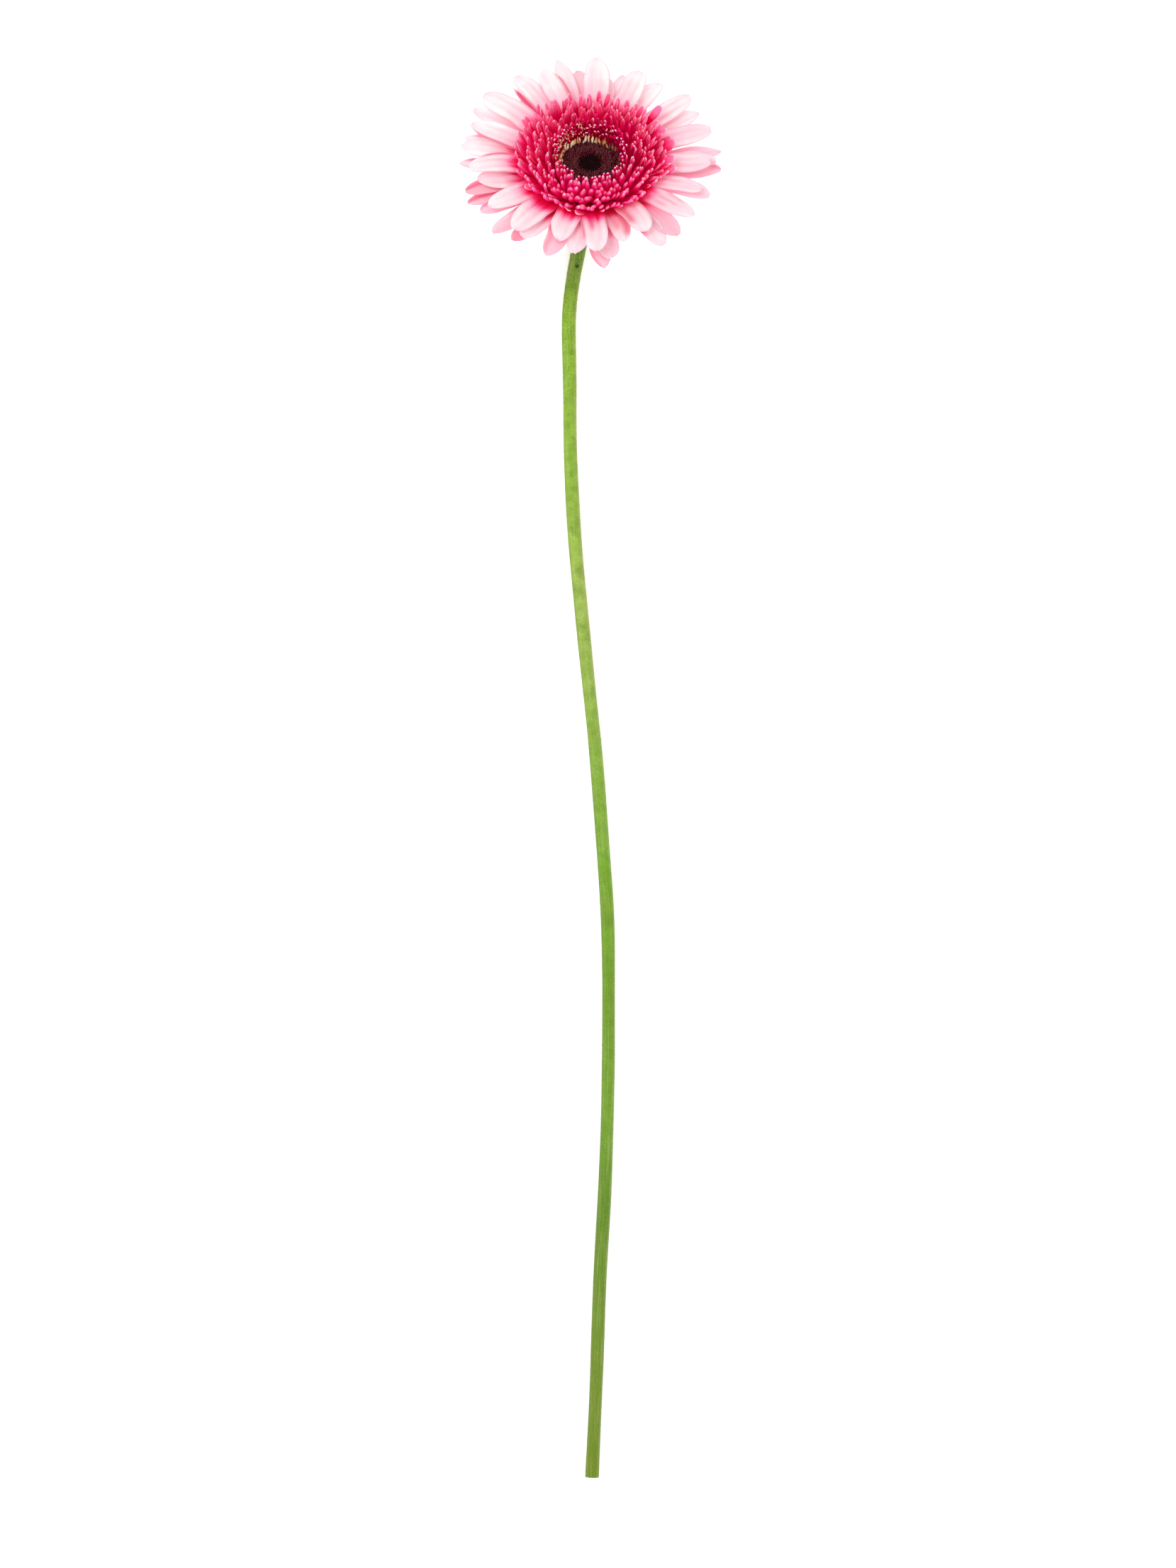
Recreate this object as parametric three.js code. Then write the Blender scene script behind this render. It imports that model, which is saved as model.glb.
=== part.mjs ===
// A cut gerbera, lying on a flat surface: a leafless stem that bends up into the receptacle, three rows
// of green bracts behind the head, ray petals in four layers, five rows of inner petals and the eye.
// Millimetres. +Y runs along the stem towards the head, +Z is up, and the surface is z = 0.

import * as THREE from 'three';

// ---- Driving dimensions -----------------------------------------------------------------------

const HEAD_TILT = 34;            // degrees from straight up, leaning away from the stem
const HEAD_LEAN = -3;            // degrees the tilted head is turned about +Z
const EYE = new THREE.Vector3(0, -3.5, 32.6);      // middle of the eye's face
const SEAT = 0.35;               // clearance between a piece's foot and what it stands on

const RECEPTACLE_RADIUS = 17.8;
const RECEPTACLE_TOP = -12;      // level of its middle, below the eye's face
const RECEPTACLE_DOME = 2.6;     // how much lower its rim is
const RECEPTACLE_FLAT = 8.9;     // radius of the flat in its middle, which carries the eye
const NECK_START = 19;           // depth behind the eye's face where the stem starts to bend
const STEM_SIDES = 16;
const STEM_STEPS = 44;

const PETAL_THICKNESS = 0.7;
const PETAL_LIFT = 15.5;          // rise of the top layer from its root to its flat part
const PETAL_RISE = 14.9;         // radius where that rise starts
const PETAL_CURVE = 7.5;         // how quickly it levels out, along the radius
const PETAL_PLANE = 1.6;         // level of the top layer's flat part
const ROOT_RADIUS = [15.6, 16.2, 17.4, 18.2];     // one for each layer, top layer first
const LAYER_STEP = [1.75, 2.4];  // level between layers, at the roots and in the flat part

const PALE_PINK = '#fdd9e2';
const CRIMSON = '#d4145a';
const MAROON = '#5b1222';
const NEAR_BLACK = '#1c080c';
const LEAF_GREEN = '#8fae54';
const STEM_GREEN = '#8db04e';

// The ray petals, going round from the right-hand side as seen with the stem towards the viewer.
// [direction of the tip in degrees, reach from the head's axis, width, layer (0 is the top one),
//  droop of the tip, or REST where the tip lies on the surface]
const REST = 'rest';
const PETALS = [
  [1, 50.5, 10.5, 0, 0.9],
  [6, 53, 8.5, 1, 1.0],
  [14, 56, 7.5, 2, 1.1],
  [21, 53.5, 10.5, 0, 0.9],
  [34.5, 54, 10, 1, 1.0],
  [42.5, 55, 9.5, 0, 1.0],
  [60, 54, 9.5, 1, 1.8],
  [68.5, 53.5, 10.5, 0, 1.2],
  [76, 52.5, 7, 2, REST],
  [82, 48, 7, 1, 2.3],
  [89.5, 57, 11.5, 0, REST],
  [97.5, 52.5, 8.5, 2, REST],
  [105.5, 57.5, 8, 1, REST],
  [113.5, 53, 10.5, 0, 1.2],
  [126, 55, 8, 3, 0.7],
  [126, 56.5, 9, 1, 1.1],
  [135, 55, 7, 2, 0.8],
  [142, 56, 11.5, 0, 1.0],
  [151, 56.5, 10.5, 1, 1.0],
  [163, 53, 10.5, 0, 0.9],
  [166, 54, 7.5, 2, 0.9],
  [173.5, 54.5, 9.5, 1, 0.9],
  [181.5, 54.5, 8, 2, 0.8],
  [187.5, 51, 10.5, 0, 0.8],
  [196.5, 48, 10.5, 1, 0.7],
  [197.5, 54, 8.5, 2, 0.8],
  [203.5, 54.5, 8, 3, 0.6],
  [211.5, 52, 8, 2, 0.8],
  [215.5, 49.5, 10.5, 0, 0.8],
  [225, 54.5, 8.5, 2, 0.9],
  [232.5, 49.5, 12, 0, 0.9],
  [234, 50, 9, 3, 0.6],
  [238, 49, 9.5, 1, 0.9],
  [254, 51, 10, 2, 1.1],
  [255.5, 45.5, 11, 0, 1.0],
  [265.5, 49, 10.5, 1, 1.1],
  [276, 49, 11, 0, 1.1],
  [277.5, 52.5, 9.5, 3, 0.9],
  [282.5, 49.5, 10, 2, 1.0],
  [293, 43.5, 9, 1, 0.9],
  [304.5, 45, 11, 0, 0.3],
  [309.5, 52.5, 10.5, 1, 1.8],
  [316.5, 52.5, 8.5, 2, 0.9],
  [327.5, 52, 10, 0, 0.9],
  [344, 49, 8.5, 0, 0.8],
  [344.5, 52.5, 9.5, 1, 0.9],
  [1, 55, 9, 2, 1.0],
];

// The stem's middle line on the surface, from under the head to the cut end: [x, y, radius].
const STEM_LINE = [
  [-7.4, -52, 3.0],
  [-8.9, -66, 3.0],
  [-8.6, -94, 2.9],
  [-8.3, -124, 2.8],
  [-6.5, -160, 2.8],
  [-3.8, -190, 2.8],
  [-0.8, -220, 2.8],
  [2.3, -250, 2.8],
  [5.3, -289, 2.75],
  [7.4, -322, 2.75],
  [7.8, -364, 2.75],
  [7.4, -400, 2.75],
  [6.2, -436, 2.75],
  [4.2, -472, 2.8],
  [2.6, -517, 2.8],
  [0.8, -557, 2.85],
];

// ---- Geometry helpers -------------------------------------------------------------------------

// A closed solid through rings of points. A loft has flat ends; a closed one joins its last ring to
// its first, like a tyre.
function loft(rings, closed = false) {
  const count = rings[0].length;
  const spans = closed ? rings.length : rings.length - 1;
  const index = [];
  for (let i = 0; i < spans; i++) {
    const here = i * count;
    const next = ((i + 1) % rings.length) * count;
    for (let j = 0; j < count; j++) {
      const k = (j + 1) % count;
      index.push(here + j, here + k, next + k);
      index.push(here + j, next + k, next + j);
    }
  }
  if (!closed) {
    const last = (rings.length - 1) * count;
    for (let j = 1; j < count - 1; j++) {
      index.push(0, j + 1, j);
      index.push(last, last + j, last + j + 1);
    }
  }
  const geometry = new THREE.BufferGeometry().setFromPoints(rings.flat());
  geometry.setIndex(index);
  geometry.computeVertexNormals();
  return geometry;
}

function polar(radius, degrees, level) {
  const angle = THREE.MathUtils.degToRad(degrees);
  return new THREE.Vector3(radius * Math.cos(angle), radius * Math.sin(angle), level);
}

function piece(name, geometry, color, roughness) {
  const material = new THREE.MeshStandardMaterial({ color, roughness, metalness: 0 });
  const mesh = new THREE.Mesh(geometry, material);
  mesh.name = name;
  return mesh;
}

// ---- The head's own frame: +Z is its axis, z = 0 the eye's face, +Y points away from the stem ---

const head = new THREE.Group();
head.rotation.order = 'ZXY';
head.rotation.x = THREE.MathUtils.degToRad(-HEAD_TILT);
head.rotation.z = THREE.MathUtils.degToRad(HEAD_LEAN);
head.position.copy(EYE);
head.updateMatrix();

// Level of the receptacle's domed top at a radius.
function domeLevel(radius) {
  return RECEPTACLE_TOP - RECEPTACLE_DOME * (radius / RECEPTACLE_RADIUS) ** 2;
}

// ---- Stem and receptacle, grown as one piece -----------------------------------------------------

// Receptacle section: [radius, depth behind the eye's face], from its domed top round to its back.
const RECEPTACLE = [
  [RECEPTACLE_FLAT, -domeLevel(RECEPTACLE_FLAT)],
  [13.5, -domeLevel(13.5)],
  [RECEPTACLE_RADIUS, -domeLevel(RECEPTACLE_RADIUS)],
  [17.3, 16.4],
  [15.9, 18.1],
];
// Radius of the swelling below the head, at equal steps along the bend of the neck.
const NECK_RADII = [14.2, 9.2, 6.2, 4.5, 3.7, 3.35, 3.2, 3.1, 3.05];

function stemRings() {
  const across = new THREE.Vector3(1, 0, 0);
  const ring = (centre, direction, radius) => {
    const side = across.clone().addScaledVector(direction, -across.dot(direction)).normalize();
    const up = new THREE.Vector3().crossVectors(direction, side);
    return Array.from({ length: STEM_SIDES }, (_, j) => {
      const angle = (2 * Math.PI * j) / STEM_SIDES;
      return centre.clone()
        .addScaledVector(side, radius * Math.cos(angle))
        .addScaledVector(up, radius * Math.sin(angle));
    });
  };

  const back = new THREE.Vector3(0, 0, -1).transformDirection(head.matrix);
  const rings = RECEPTACLE.map(([radius, depth]) => {
    return ring(EYE.clone().addScaledVector(back, depth), back, radius);
  });

  // The neck: an arc in an upright plane, from the head's axis down to the surface.
  const start = EYE.clone().addScaledVector(back, NECK_START);
  const tilt = THREE.MathUtils.degToRad(90 - HEAD_TILT);
  const bend = (start.z - NECK_RADII.at(-1)) / (1 - Math.cos(tilt));
  const middleY = start.y - bend * Math.sin(tilt);
  const middleZ = start.z + bend * Math.cos(tilt);
  const path = NECK_RADII.map((radius, i) => {
    const angle = tilt * (1 - i / (NECK_RADII.length - 1));
    const y = middleY + bend * Math.sin(angle);
    const x = THREE.MathUtils.mapLinear(y, start.y, STEM_LINE[0][1], start.x, STEM_LINE[0][0]);
    return new THREE.Vector3(x, y, Math.max(middleZ - bend * Math.cos(angle), radius));
  });
  const neck = new THREE.CatmullRomCurve3(path);
  NECK_RADII.forEach((radius, i) => {
    const t = i / (NECK_RADII.length - 1);
    rings.push(ring(path[i], neck.getTangent(t), radius));
  });

  // The stalk on the surface, its underside level with it.
  const stalk = new THREE.CatmullRomCurve3([
    path.at(-1),
    ...STEM_LINE.map(([x, y, radius]) => new THREE.Vector3(x, y, radius)),
  ]);
  for (let i = 1; i <= STEM_STEPS; i++) {
    const centre = stalk.getPointAt(i / STEM_STEPS);
    rings.push(ring(centre, stalk.getTangentAt(i / STEM_STEPS), centre.z));
  }
  return rings;
}

const stem = piece('stem', loft(stemRings()), STEM_GREEN, 0.6);

// ---- Rings of small scales and florets that stand close together ---------------------------------

// A thin wall carried round the axis. Its meridian bends from [radius, level] foot over knee to tip,
// and its top edge is cut into pointed lobes, one for each scale or floret.
function crown({ foot, knee, tip, thickness, lobes, depth }) {
  const ends = [foot, knee, tip].map(([r, w]) => new THREE.Vector2(r, w));
  const meridian = new THREE.QuadraticBezierCurve(...ends);
  const rings = [];
  for (let i = 0; i < lobes * 2; i++) {
    const top = i % 2 ? 1 : 1 - depth;
    const wall = [0, 0.5, 1].map((t) => {
      const point = meridian.getPoint(t * top);
      const along = meridian.getTangent(t * top);
      const half = THREE.MathUtils.lerp(thickness[0], thickness[1], t) / 2;
      const normal = new THREE.Vector2(-along.y, along.x).multiplyScalar(half);
      return [point.clone().add(normal), point.clone().sub(normal)];
    });
    const outline = [...wall.map((w) => w[0]), ...wall.map((w) => w[1]).reverse()];
    rings.push(outline.map((p) => polar(p.x, (180 * i) / lobes, p.y)));
  }
  return loft(rings, true);
}

// Foot of a crown that stands on the receptacle's top.
function onDome(radius) {
  return [radius, domeLevel(radius) + SEAT];
}

const BRACT_ROWS = [
  { name: 'bracts_outer', foot: [13.6, -22.8], knee: [18.6, -22.6], tip: [21.2, -18.6], lobes: 20 },
  { name: 'bracts_middle', foot: [16.6, -19.0], knee: [20.4, -18.4], tip: [23.4, -14.9], lobes: 22 },
  { name: 'bracts_inner', foot: [18.1, -16.5], knee: [20.4, -14.8], tip: [24.8, -11.6], lobes: 24 },
];
for (const { name, ...shape } of BRACT_ROWS) {
  const geometry = crown({ ...shape, thickness: [0.8, 0.8], depth: 0.4 });
  head.add(piece(name, geometry, LEAF_GREEN, 0.7));
}

const INNER_PETAL_ROWS = [
  { foot: onDome(9.1), knee: [11.3, -3.4], tip: [16.0, 3.4], lobes: 24 },
  { foot: onDome(10.2), knee: [13.0, -3.0], tip: [20.0, 5.6], lobes: 28 },
  { foot: onDome(11.3), knee: [14.8, -2.8], tip: [24.4, 6.8], lobes: 32 },
  { foot: onDome(12.4), knee: [16.6, -2.6], tip: [29.0, 7.2], lobes: 36 },
  { foot: onDome(13.5), knee: [18.4, -2.8], tip: [33.8, 6.2], lobes: 38 },
];
INNER_PETAL_ROWS.forEach((shape, row) => {
  const geometry = crown({ ...shape, thickness: [0.7, 1.2], depth: 0.3 });
  head.add(piece(`inner_petals_row_${row + 1}`, geometry, CRIMSON, 0.6));
});

// ---- The eye: three rings of tubular florets -----------------------------------------------------

const EYE_FOOT = domeLevel(RECEPTACLE_FLAT) + SEAT;

// A solid ring between an inner and an outer wall, each [radius at foot, radius at top].
function floretRing(inner, outer, top, bulge, steps) {
  const middle = (inner[1] + outer[1]) / 2;
  const outline = [
    [inner[0], EYE_FOOT],
    [inner[1], top],
    [middle, top + bulge],
    [outer[1], top],
    [outer[0], EYE_FOOT],
  ];
  const rings = Array.from({ length: steps }, (_, i) => {
    return outline.map(([radius, level]) => polar(radius, (360 * i) / steps, level));
  });
  return loft(rings, true);
}

function centreBuds() {
  const outline = [[3.0, EYE_FOOT], [5.8, -1.6], [4.6, -1.0], [2.4, -1.2]];
  return loft(outline.map(([radius, level]) => {
    return Array.from({ length: 18 }, (_, i) => polar(radius, 20 * i, level));
  }));
}

head.add(piece('disc_florets_open', floretRing([6.6, 9.6], [8.2, 12.0], -0.8, 0.8, 36), MAROON, 0.6));
head.add(piece('disc_florets_budding', floretRing([3.6, 6.3], [6.1, 9.1], -0.9, 0.5, 30), MAROON, 0.6));
head.add(piece('disc_centre_buds', centreBuds(), NEAR_BLACK, 0.6));

// ---- Ray petals ----------------------------------------------------------------------------------

const PETAL_STATIONS = [0, 0.13, 0.3, 0.5, 0.7, 0.88, 1];
// The section's corners: [place across the petal from -1 to 1, place through it from -1 to 1].
const PETAL_SECTION = [
  [-1, 0], [-0.5, -0.9], [0, -1], [0.5, -0.9],
  [1, 0], [0.5, 0.9], [0, 1], [-0.5, 0.9],
];

// Level of a layer's middle surface at a radius: a steep rise out of the receptacle that levels out.
function layerLevel(radius, layer) {
  const rise = PETAL_LIFT * Math.exp(-(radius - PETAL_RISE) / PETAL_CURVE);
  const spread = THREE.MathUtils.smoothstep(radius, PETAL_RISE, 32);
  return PETAL_PLANE - rise - layer * THREE.MathUtils.lerp(...LAYER_STEP, spread);
}

// Half the width as a share of the widest: a narrow claw, a broad blade and a blunt tip.
function petalOutline(s) {
  const grow = 0.22 + 0.78 * THREE.MathUtils.smoothstep(s, 0, 0.62);
  const past = Math.max(0, (s - 0.62) / 0.38);
  return grow * Math.sqrt(1 - 0.92 * past * past);
}

// Level in the head's frame of a point that lies on the surface under the flower.
function restLevel(radius, degrees) {
  const tilt = THREE.MathUtils.degToRad(HEAD_TILT);
  const forward = radius * Math.sin(THREE.MathUtils.degToRad(degrees));
  return (forward * Math.sin(tilt) - EYE.z) / Math.cos(tilt);
}

function rayPetal([direction, reach, width, layer, droop], number) {
  const root = ROOT_RADIUS[layer];
  const sway = 2.2 * Math.sin(2.4 * number);          // the root stands a little to one side
  const cup = 0.35 * Math.sin(1.7 * number + 1);      // the edges stand a little up or down
  const lowest = restLevel(reach, direction) + PETAL_THICKNESS / 2;
  const drop = droop === REST ? layerLevel(reach, layer) - lowest : droop;

  const rings = PETAL_STATIONS.map((s) => {
    const radius = THREE.MathUtils.lerp(root, reach, s);
    const slope = (layerLevel(radius + 0.1, layer) - layerLevel(radius, layer)) / 0.1;
    const half = (PETAL_THICKNESS / 2) * Math.hypot(1, slope);
    const fall = drop * Math.max(0, (s - 0.45) / 0.55) ** 2;
    const level = layerLevel(radius, layer) - fall;
    const spread = THREE.MathUtils.radToDeg((petalOutline(s) * width) / 2 / radius);
    return PETAL_SECTION.map(([side, through]) => {
      const degrees = direction + sway * (1 - s) + side * spread;
      return polar(radius, degrees, level + through * half + cup * (side * side - 0.5) * petalOutline(s));
    });
  });
  const name = `petal_${String(number + 1).padStart(2, '0')}`;
  return piece(name, loft(rings), PALE_PINK, 0.55);
}

PETALS.forEach((petal, number) => head.add(rayPetal(petal, number)));

// ---- The flower, with its origin under the middle of its box --------------------------------------

const flower = new THREE.Group();
flower.add(stem, head);
flower.updateMatrixWorld(true);
const box = new THREE.Box3().setFromObject(flower, true);
flower.position.set(-(box.min.x + box.max.x) / 2, -(box.min.y + box.max.y) / 2, -box.min.z);

export default flower;
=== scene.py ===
"""A cut gerbera lying on a pale table, seen from above."""
import bpy
import numpy as np
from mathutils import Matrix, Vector


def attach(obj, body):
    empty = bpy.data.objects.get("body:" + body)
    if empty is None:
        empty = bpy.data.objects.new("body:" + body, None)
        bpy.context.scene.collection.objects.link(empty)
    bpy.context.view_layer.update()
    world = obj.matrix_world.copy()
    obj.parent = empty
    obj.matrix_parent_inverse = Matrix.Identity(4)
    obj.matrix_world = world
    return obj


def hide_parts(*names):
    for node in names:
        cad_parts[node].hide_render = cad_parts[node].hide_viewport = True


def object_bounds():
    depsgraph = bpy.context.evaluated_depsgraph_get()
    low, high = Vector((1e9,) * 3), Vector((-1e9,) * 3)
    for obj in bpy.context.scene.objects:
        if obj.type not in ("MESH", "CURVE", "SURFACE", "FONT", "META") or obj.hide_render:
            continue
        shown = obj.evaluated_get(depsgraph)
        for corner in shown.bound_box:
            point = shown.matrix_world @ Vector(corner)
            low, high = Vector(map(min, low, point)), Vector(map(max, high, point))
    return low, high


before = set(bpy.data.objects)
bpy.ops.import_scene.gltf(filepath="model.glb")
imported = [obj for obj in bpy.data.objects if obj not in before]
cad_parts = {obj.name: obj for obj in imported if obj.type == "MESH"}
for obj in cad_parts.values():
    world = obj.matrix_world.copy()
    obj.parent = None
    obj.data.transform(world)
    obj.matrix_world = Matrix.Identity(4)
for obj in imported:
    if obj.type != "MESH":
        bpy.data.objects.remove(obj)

cad_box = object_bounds()


# ---- Stem and receptacle -------------------------------------------------------------------------
# A leafless flower stalk, soft and juicy, that swells into the receptacle behind the head. Grown as
# one piece: faint ribs run down it, it is mottled olive to yellow green, and its end is cut.

def node_points(name):
    """Every different corner of a CAD node's mesh, in millimetres, one row each."""
    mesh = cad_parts[name].data
    flat = np.empty(len(mesh.vertices) * 3, np.float32)
    mesh.vertices.foreach_get("co", flat)
    return np.unique(flat.reshape(-1, 3).astype(float).round(6), axis=0) * 1000


# The head leans 34 degrees away from the stalk and 3 degrees to the right. Columns are its own axes.
tilt = np.radians(34.0)
lean = np.radians(-3.0)
tip_forward = np.array([[1, 0, 0], [0, np.cos(tilt), np.sin(tilt)], [0, -np.sin(tilt), np.cos(tilt)]])
turn_right = np.array([[np.cos(lean), -np.sin(lean), 0], [np.sin(lean), np.cos(lean), 0], [0, 0, 1]])
head_axes = turn_right @ tip_forward

# The eye's middle is the middle of its outer ring of florets, on the ring's highest level.
eye_ring = node_points("disc_florets_open") @ head_axes
eye = head_axes @ np.array([*(eye_ring.min(0) + eye_ring.max(0))[:2] / 2, eye_ring[:, 2].max()])


def in_head(points):
    """Row-frame millimetres seen in the head's own axes: the offset from the eye along each axis."""
    return (points - eye) @ head_axes


def out_of_head(points):
    """Head millimetres put back in the row frame: each axis times its coordinate, added to the eye."""
    return points @ head_axes.T + eye


def layered(*parts):
    """Arrays of any shapes that fit together, spread to one shape and made the last axis of one array."""
    return np.stack(np.broadcast_arrays(*parts), axis=-1)


def unit(vectors):
    """Each vector over its own length."""
    return vectors / np.linalg.norm(vectors, axis=-1, keepdims=True)


def smooth_through(knots, values, at):
    """A curve through values at the knots: in each span a cubic whose end slopes are the mean slopes
    of the spans beside them."""
    slopes = np.gradient(values, knots, axis=0)
    span = np.clip(np.searchsorted(knots, at, side="right") - 1, 0, len(knots) - 2)
    width = knots[span + 1] - knots[span]
    t = (at - knots[span]) / width
    if values.ndim > 1:
        t = t[:, None]
        width = width[:, None]
    rest = 1 - t
    ends = values[span] * (1 + 2 * t) * rest ** 2 + values[span + 1] * (3 - 2 * t) * t ** 2
    bends = slopes[span] * t * rest ** 2 - slopes[span + 1] * t ** 2 * rest
    return ends + bends * width


def lofted(rings):
    """Points and quads of closed bodies from rings (body, station, round, xyz): each quad joins
    neighbours round and along, both ends close with a ladder of quads, and a body whose volume comes
    out negative has its faces turned."""
    bodies, stations, around = rings.shape[:3]
    number = np.arange(bodies * stations * around).reshape(bodies, stations, around)
    beside = np.roll(number, -1, axis=2)
    sides = np.stack([number[:, :-1], beside[:, :-1], beside[:, 1:], number[:, 1:]], axis=-1)
    rung = np.arange(around // 2 - 1)
    ladder = np.stack([rung, rung + 1, around - 2 - rung, around - 1 - rung], axis=-1)
    first = number[:, 0][:, ladder[:, ::-1]]
    last = number[:, -1][:, ladder]
    faces = np.concatenate([sides.reshape(bodies, -1, 4), first, last], axis=1)
    points = rings.reshape(-1, 3)
    a, b, c, d = np.moveaxis(points[faces] - rings.mean((1, 2))[:, None, None], 2, 0)
    volume = (np.cross(b, c) + np.cross(c, d)) * a
    faces = np.where(volume.sum((1, 2))[:, None, None] < 0, faces[:, :, ::-1], faces)
    return points, faces.reshape(-1, 4)


def make_piece(name, points, faces, material, **kept):
    """One smooth mesh at the origin from whole arrays: points in millimetres, quads, and the vectors
    that its material reads at each point."""
    mesh = bpy.data.meshes.new(name)
    mesh.vertices.add(len(points))
    mesh.vertices.foreach_set("co", (points / 1000).astype(np.float32).ravel())
    mesh.loops.add(faces.size)
    mesh.loops.foreach_set("vertex_index", faces.astype(np.int32).ravel())
    mesh.polygons.add(len(faces))
    mesh.polygons.foreach_set("loop_start", np.arange(0, faces.size, 4, dtype=np.int32))
    mesh.polygons.foreach_set("use_smooth", np.ones(len(faces), bool))
    for key, values in kept.items():
        held = mesh.attributes.new(key, "FLOAT_VECTOR", "POINT")
        held.data.foreach_set("vector", values.reshape(-1, 3).astype(np.float32).ravel())
    mesh.update(calc_edges=True)
    mesh.validate()
    mesh.materials.append(material)
    piece = bpy.data.objects.new(name, mesh)
    bpy.context.scene.collection.objects.link(piece)
    return piece


def srgb(code):
    """The linear colour of an sRGB hex value: a channel up to 0.04045 is divided by 12.92, and a
    higher one, plus 0.055 and over 1.055, is raised to 2.4."""
    channels = np.array([int(code[i:i + 2], 16) for i in (1, 3, 5)]) / 255
    linear = np.where(channels <= 0.04045, channels / 12.92, ((channels + 0.055) / 1.055) ** 2.4)
    return (*linear.tolist(), 1.0)


def feed(node, inputs):
    """Gives a node its inputs: each is a number, a colour as a hex value, or the output to link to."""
    for key, value in inputs.items():
        if isinstance(value, bpy.types.NodeSocket):
            node.id_data.links.new(value, node.inputs[key])
        else:
            node.inputs[key].default_value = srgb(value) if isinstance(value, str) else value


def add_node(tree, kind, inputs=None, stops=(), giving=None, **settings):
    """Adds one shader node with its settings, the stops of its colour ramp and its inputs, and gives
    the output that it is asked for, or else the first one in use."""
    made = tree.nodes.new("ShaderNode" + kind)
    for key, value in settings.items():
        setattr(made, key, value)
    for i, (place, code) in enumerate(stops):
        element = made.color_ramp.elements[i] if i < 2 else made.color_ramp.elements.new(place)
        element.position = place
        element.color = srgb(code)
    feed(made, inputs or {})
    return made.outputs[giving] if giving else next(output for output in made.outputs if output.enabled)


def new_material(name, roughness):
    """An empty node material with one Principled shader of that roughness, and its node tree."""
    material = bpy.data.materials.new(name)
    material.use_nodes = True
    shader = material.node_tree.nodes["Principled BSDF"]
    feed(shader, {"Roughness": roughness})
    return material, material.node_tree, shader


# Living stalk skin: waxy and matt. The green changes slowly along it, with mottling a few millimetres
# wide, pale streaks under a millimetre apart and a brownish cast where it was handled.
stem_skin, tree, shader = new_material("gerbera stalk skin, green and downy", 0.52)
where = add_node(tree, "TexCoord", giving="Object")
skin = add_node(tree, "Attribute", giving="Vector", attribute_name="skin")
_, down_stalk, flesh_shown = add_node(tree, "SeparateXYZ", {"Vector": skin}, giving=slice(3))
along = add_node(tree, "MapRange", {"Value": down_stalk, "From Max": 580.0})
green = add_node(tree, "ValToRGB", {"Fac": along}, stops=[
    (0.0, "#63823c"), (1.0, "#80882a"), (0.05, "#6e9435"), (0.1, "#92c034"), (0.24, "#9cc046"),
    (0.31, "#a8c05a"), (0.42, "#93b746"), (0.5, "#7cac2e"), (0.6, "#74992a"), (0.68, "#7ca434"),
    (0.75, "#688a2a"), (0.84, "#748e2e"), (0.93, "#768828")])
mottle = add_node(tree, "TexNoise", {"Vector": where, "Scale": 210.0, "Detail": 3.0})
mottled = add_node(tree, "MapRange", {"Value": mottle, "From Min": 0.38, "From Max": 0.7, "To Max": 0.5})
# Grains of darker green under a millimetre wide, thickest behind the head.
grains = add_node(tree, "TexNoise", {"Vector": where, "Scale": 1500.0, "Detail": 2.0})
grained = add_node(tree, "MapRange", {"Value": grains, "From Min": 0.46, "From Max": 0.62})
crowd = add_node(tree, "MapRange", {
    "Value": down_stalk, "From Min": 20.0, "From Max": 110.0, "To Min": 0.62, "To Max": 0.22})
grain_share = add_node(tree, "Math", {0: grained, 1: crowd}, operation="MULTIPLY")
streak_place = add_node(tree, "VectorMath", {0: skin, 1: (1.6, 0.045, 1.0)}, operation="MULTIPLY")
streak = add_node(tree, "TexNoise", {"Vector": streak_place, "Scale": 1.0, "Detail": 3.0})
streaked = add_node(tree, "MapRange", {"Value": streak, "From Min": 0.5, "From Max": 0.72, "To Max": 0.3})
blotch = add_node(tree, "TexNoise", {"Vector": where, "Scale": 60.0, "Detail": 4.0})
blotched = add_node(tree, "MapRange", {"Value": blotch, "From Min": 0.58, "From Max": 0.8, "To Max": 0.4})
# One dark spot two millimetres wide, where the stalk comes out from under the petals.
off_dark_spot = add_node(tree, "VectorMath", {0: where, 1: (-0.0055, 0.2114, 0.006)}, operation="DISTANCE")
dark_spot = add_node(tree, "MapRange", {
    "Value": off_dark_spot, "From Min": 0.0005, "From Max": 0.0013, "To Min": 0.85, "To Max": 0.0})
# The stalk's left side is painted a duller, darker olive: painted shade. Its right edge has a streaky pale
# reddish band, partly its own reddish cast and partly a painted rim of light, most of all where it comes
# out from under the petals.
girth = add_node(tree, "Attribute", giving="Vector", attribute_name="girth")
rightward = add_node(tree, "SeparateXYZ", {"Vector": girth})
left = add_node(tree, "MapRange", {"Value": rightward, "From Min": -0.6, "From Max": -1.0, "To Max": 0.45})
right = add_node(tree, "MapRange", {"Value": rightward, "From Min": 0.6, "From Max": 1.0, "To Max": 0.55})
beginning = add_node(tree, "MapRange", {"Value": down_stalk, "From Min": 25.0, "From Max": 55.0})
fading = add_node(tree, "MapRange", {
    "Value": down_stalk, "From Min": 90.0, "From Max": 260.0, "To Min": 1.0, "To Max": 0.3})
patchy = add_node(tree, "MapRange", {"Value": streak, "From Min": 0.35, "From Max": 0.6, "To Min": 0.35})
for part in (beginning, fading, patchy):
    right = add_node(tree, "Math", {0: right, 1: part}, operation="MULTIPLY")
# The receptacle's top, between the florets, is as crimson as their feet.
top = add_node(tree, "MapRange", {
    "Value": down_stalk, "From Min": -4.0, "From Max": -2.5, "To Min": 1.0, "To Max": 0.0})
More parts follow.
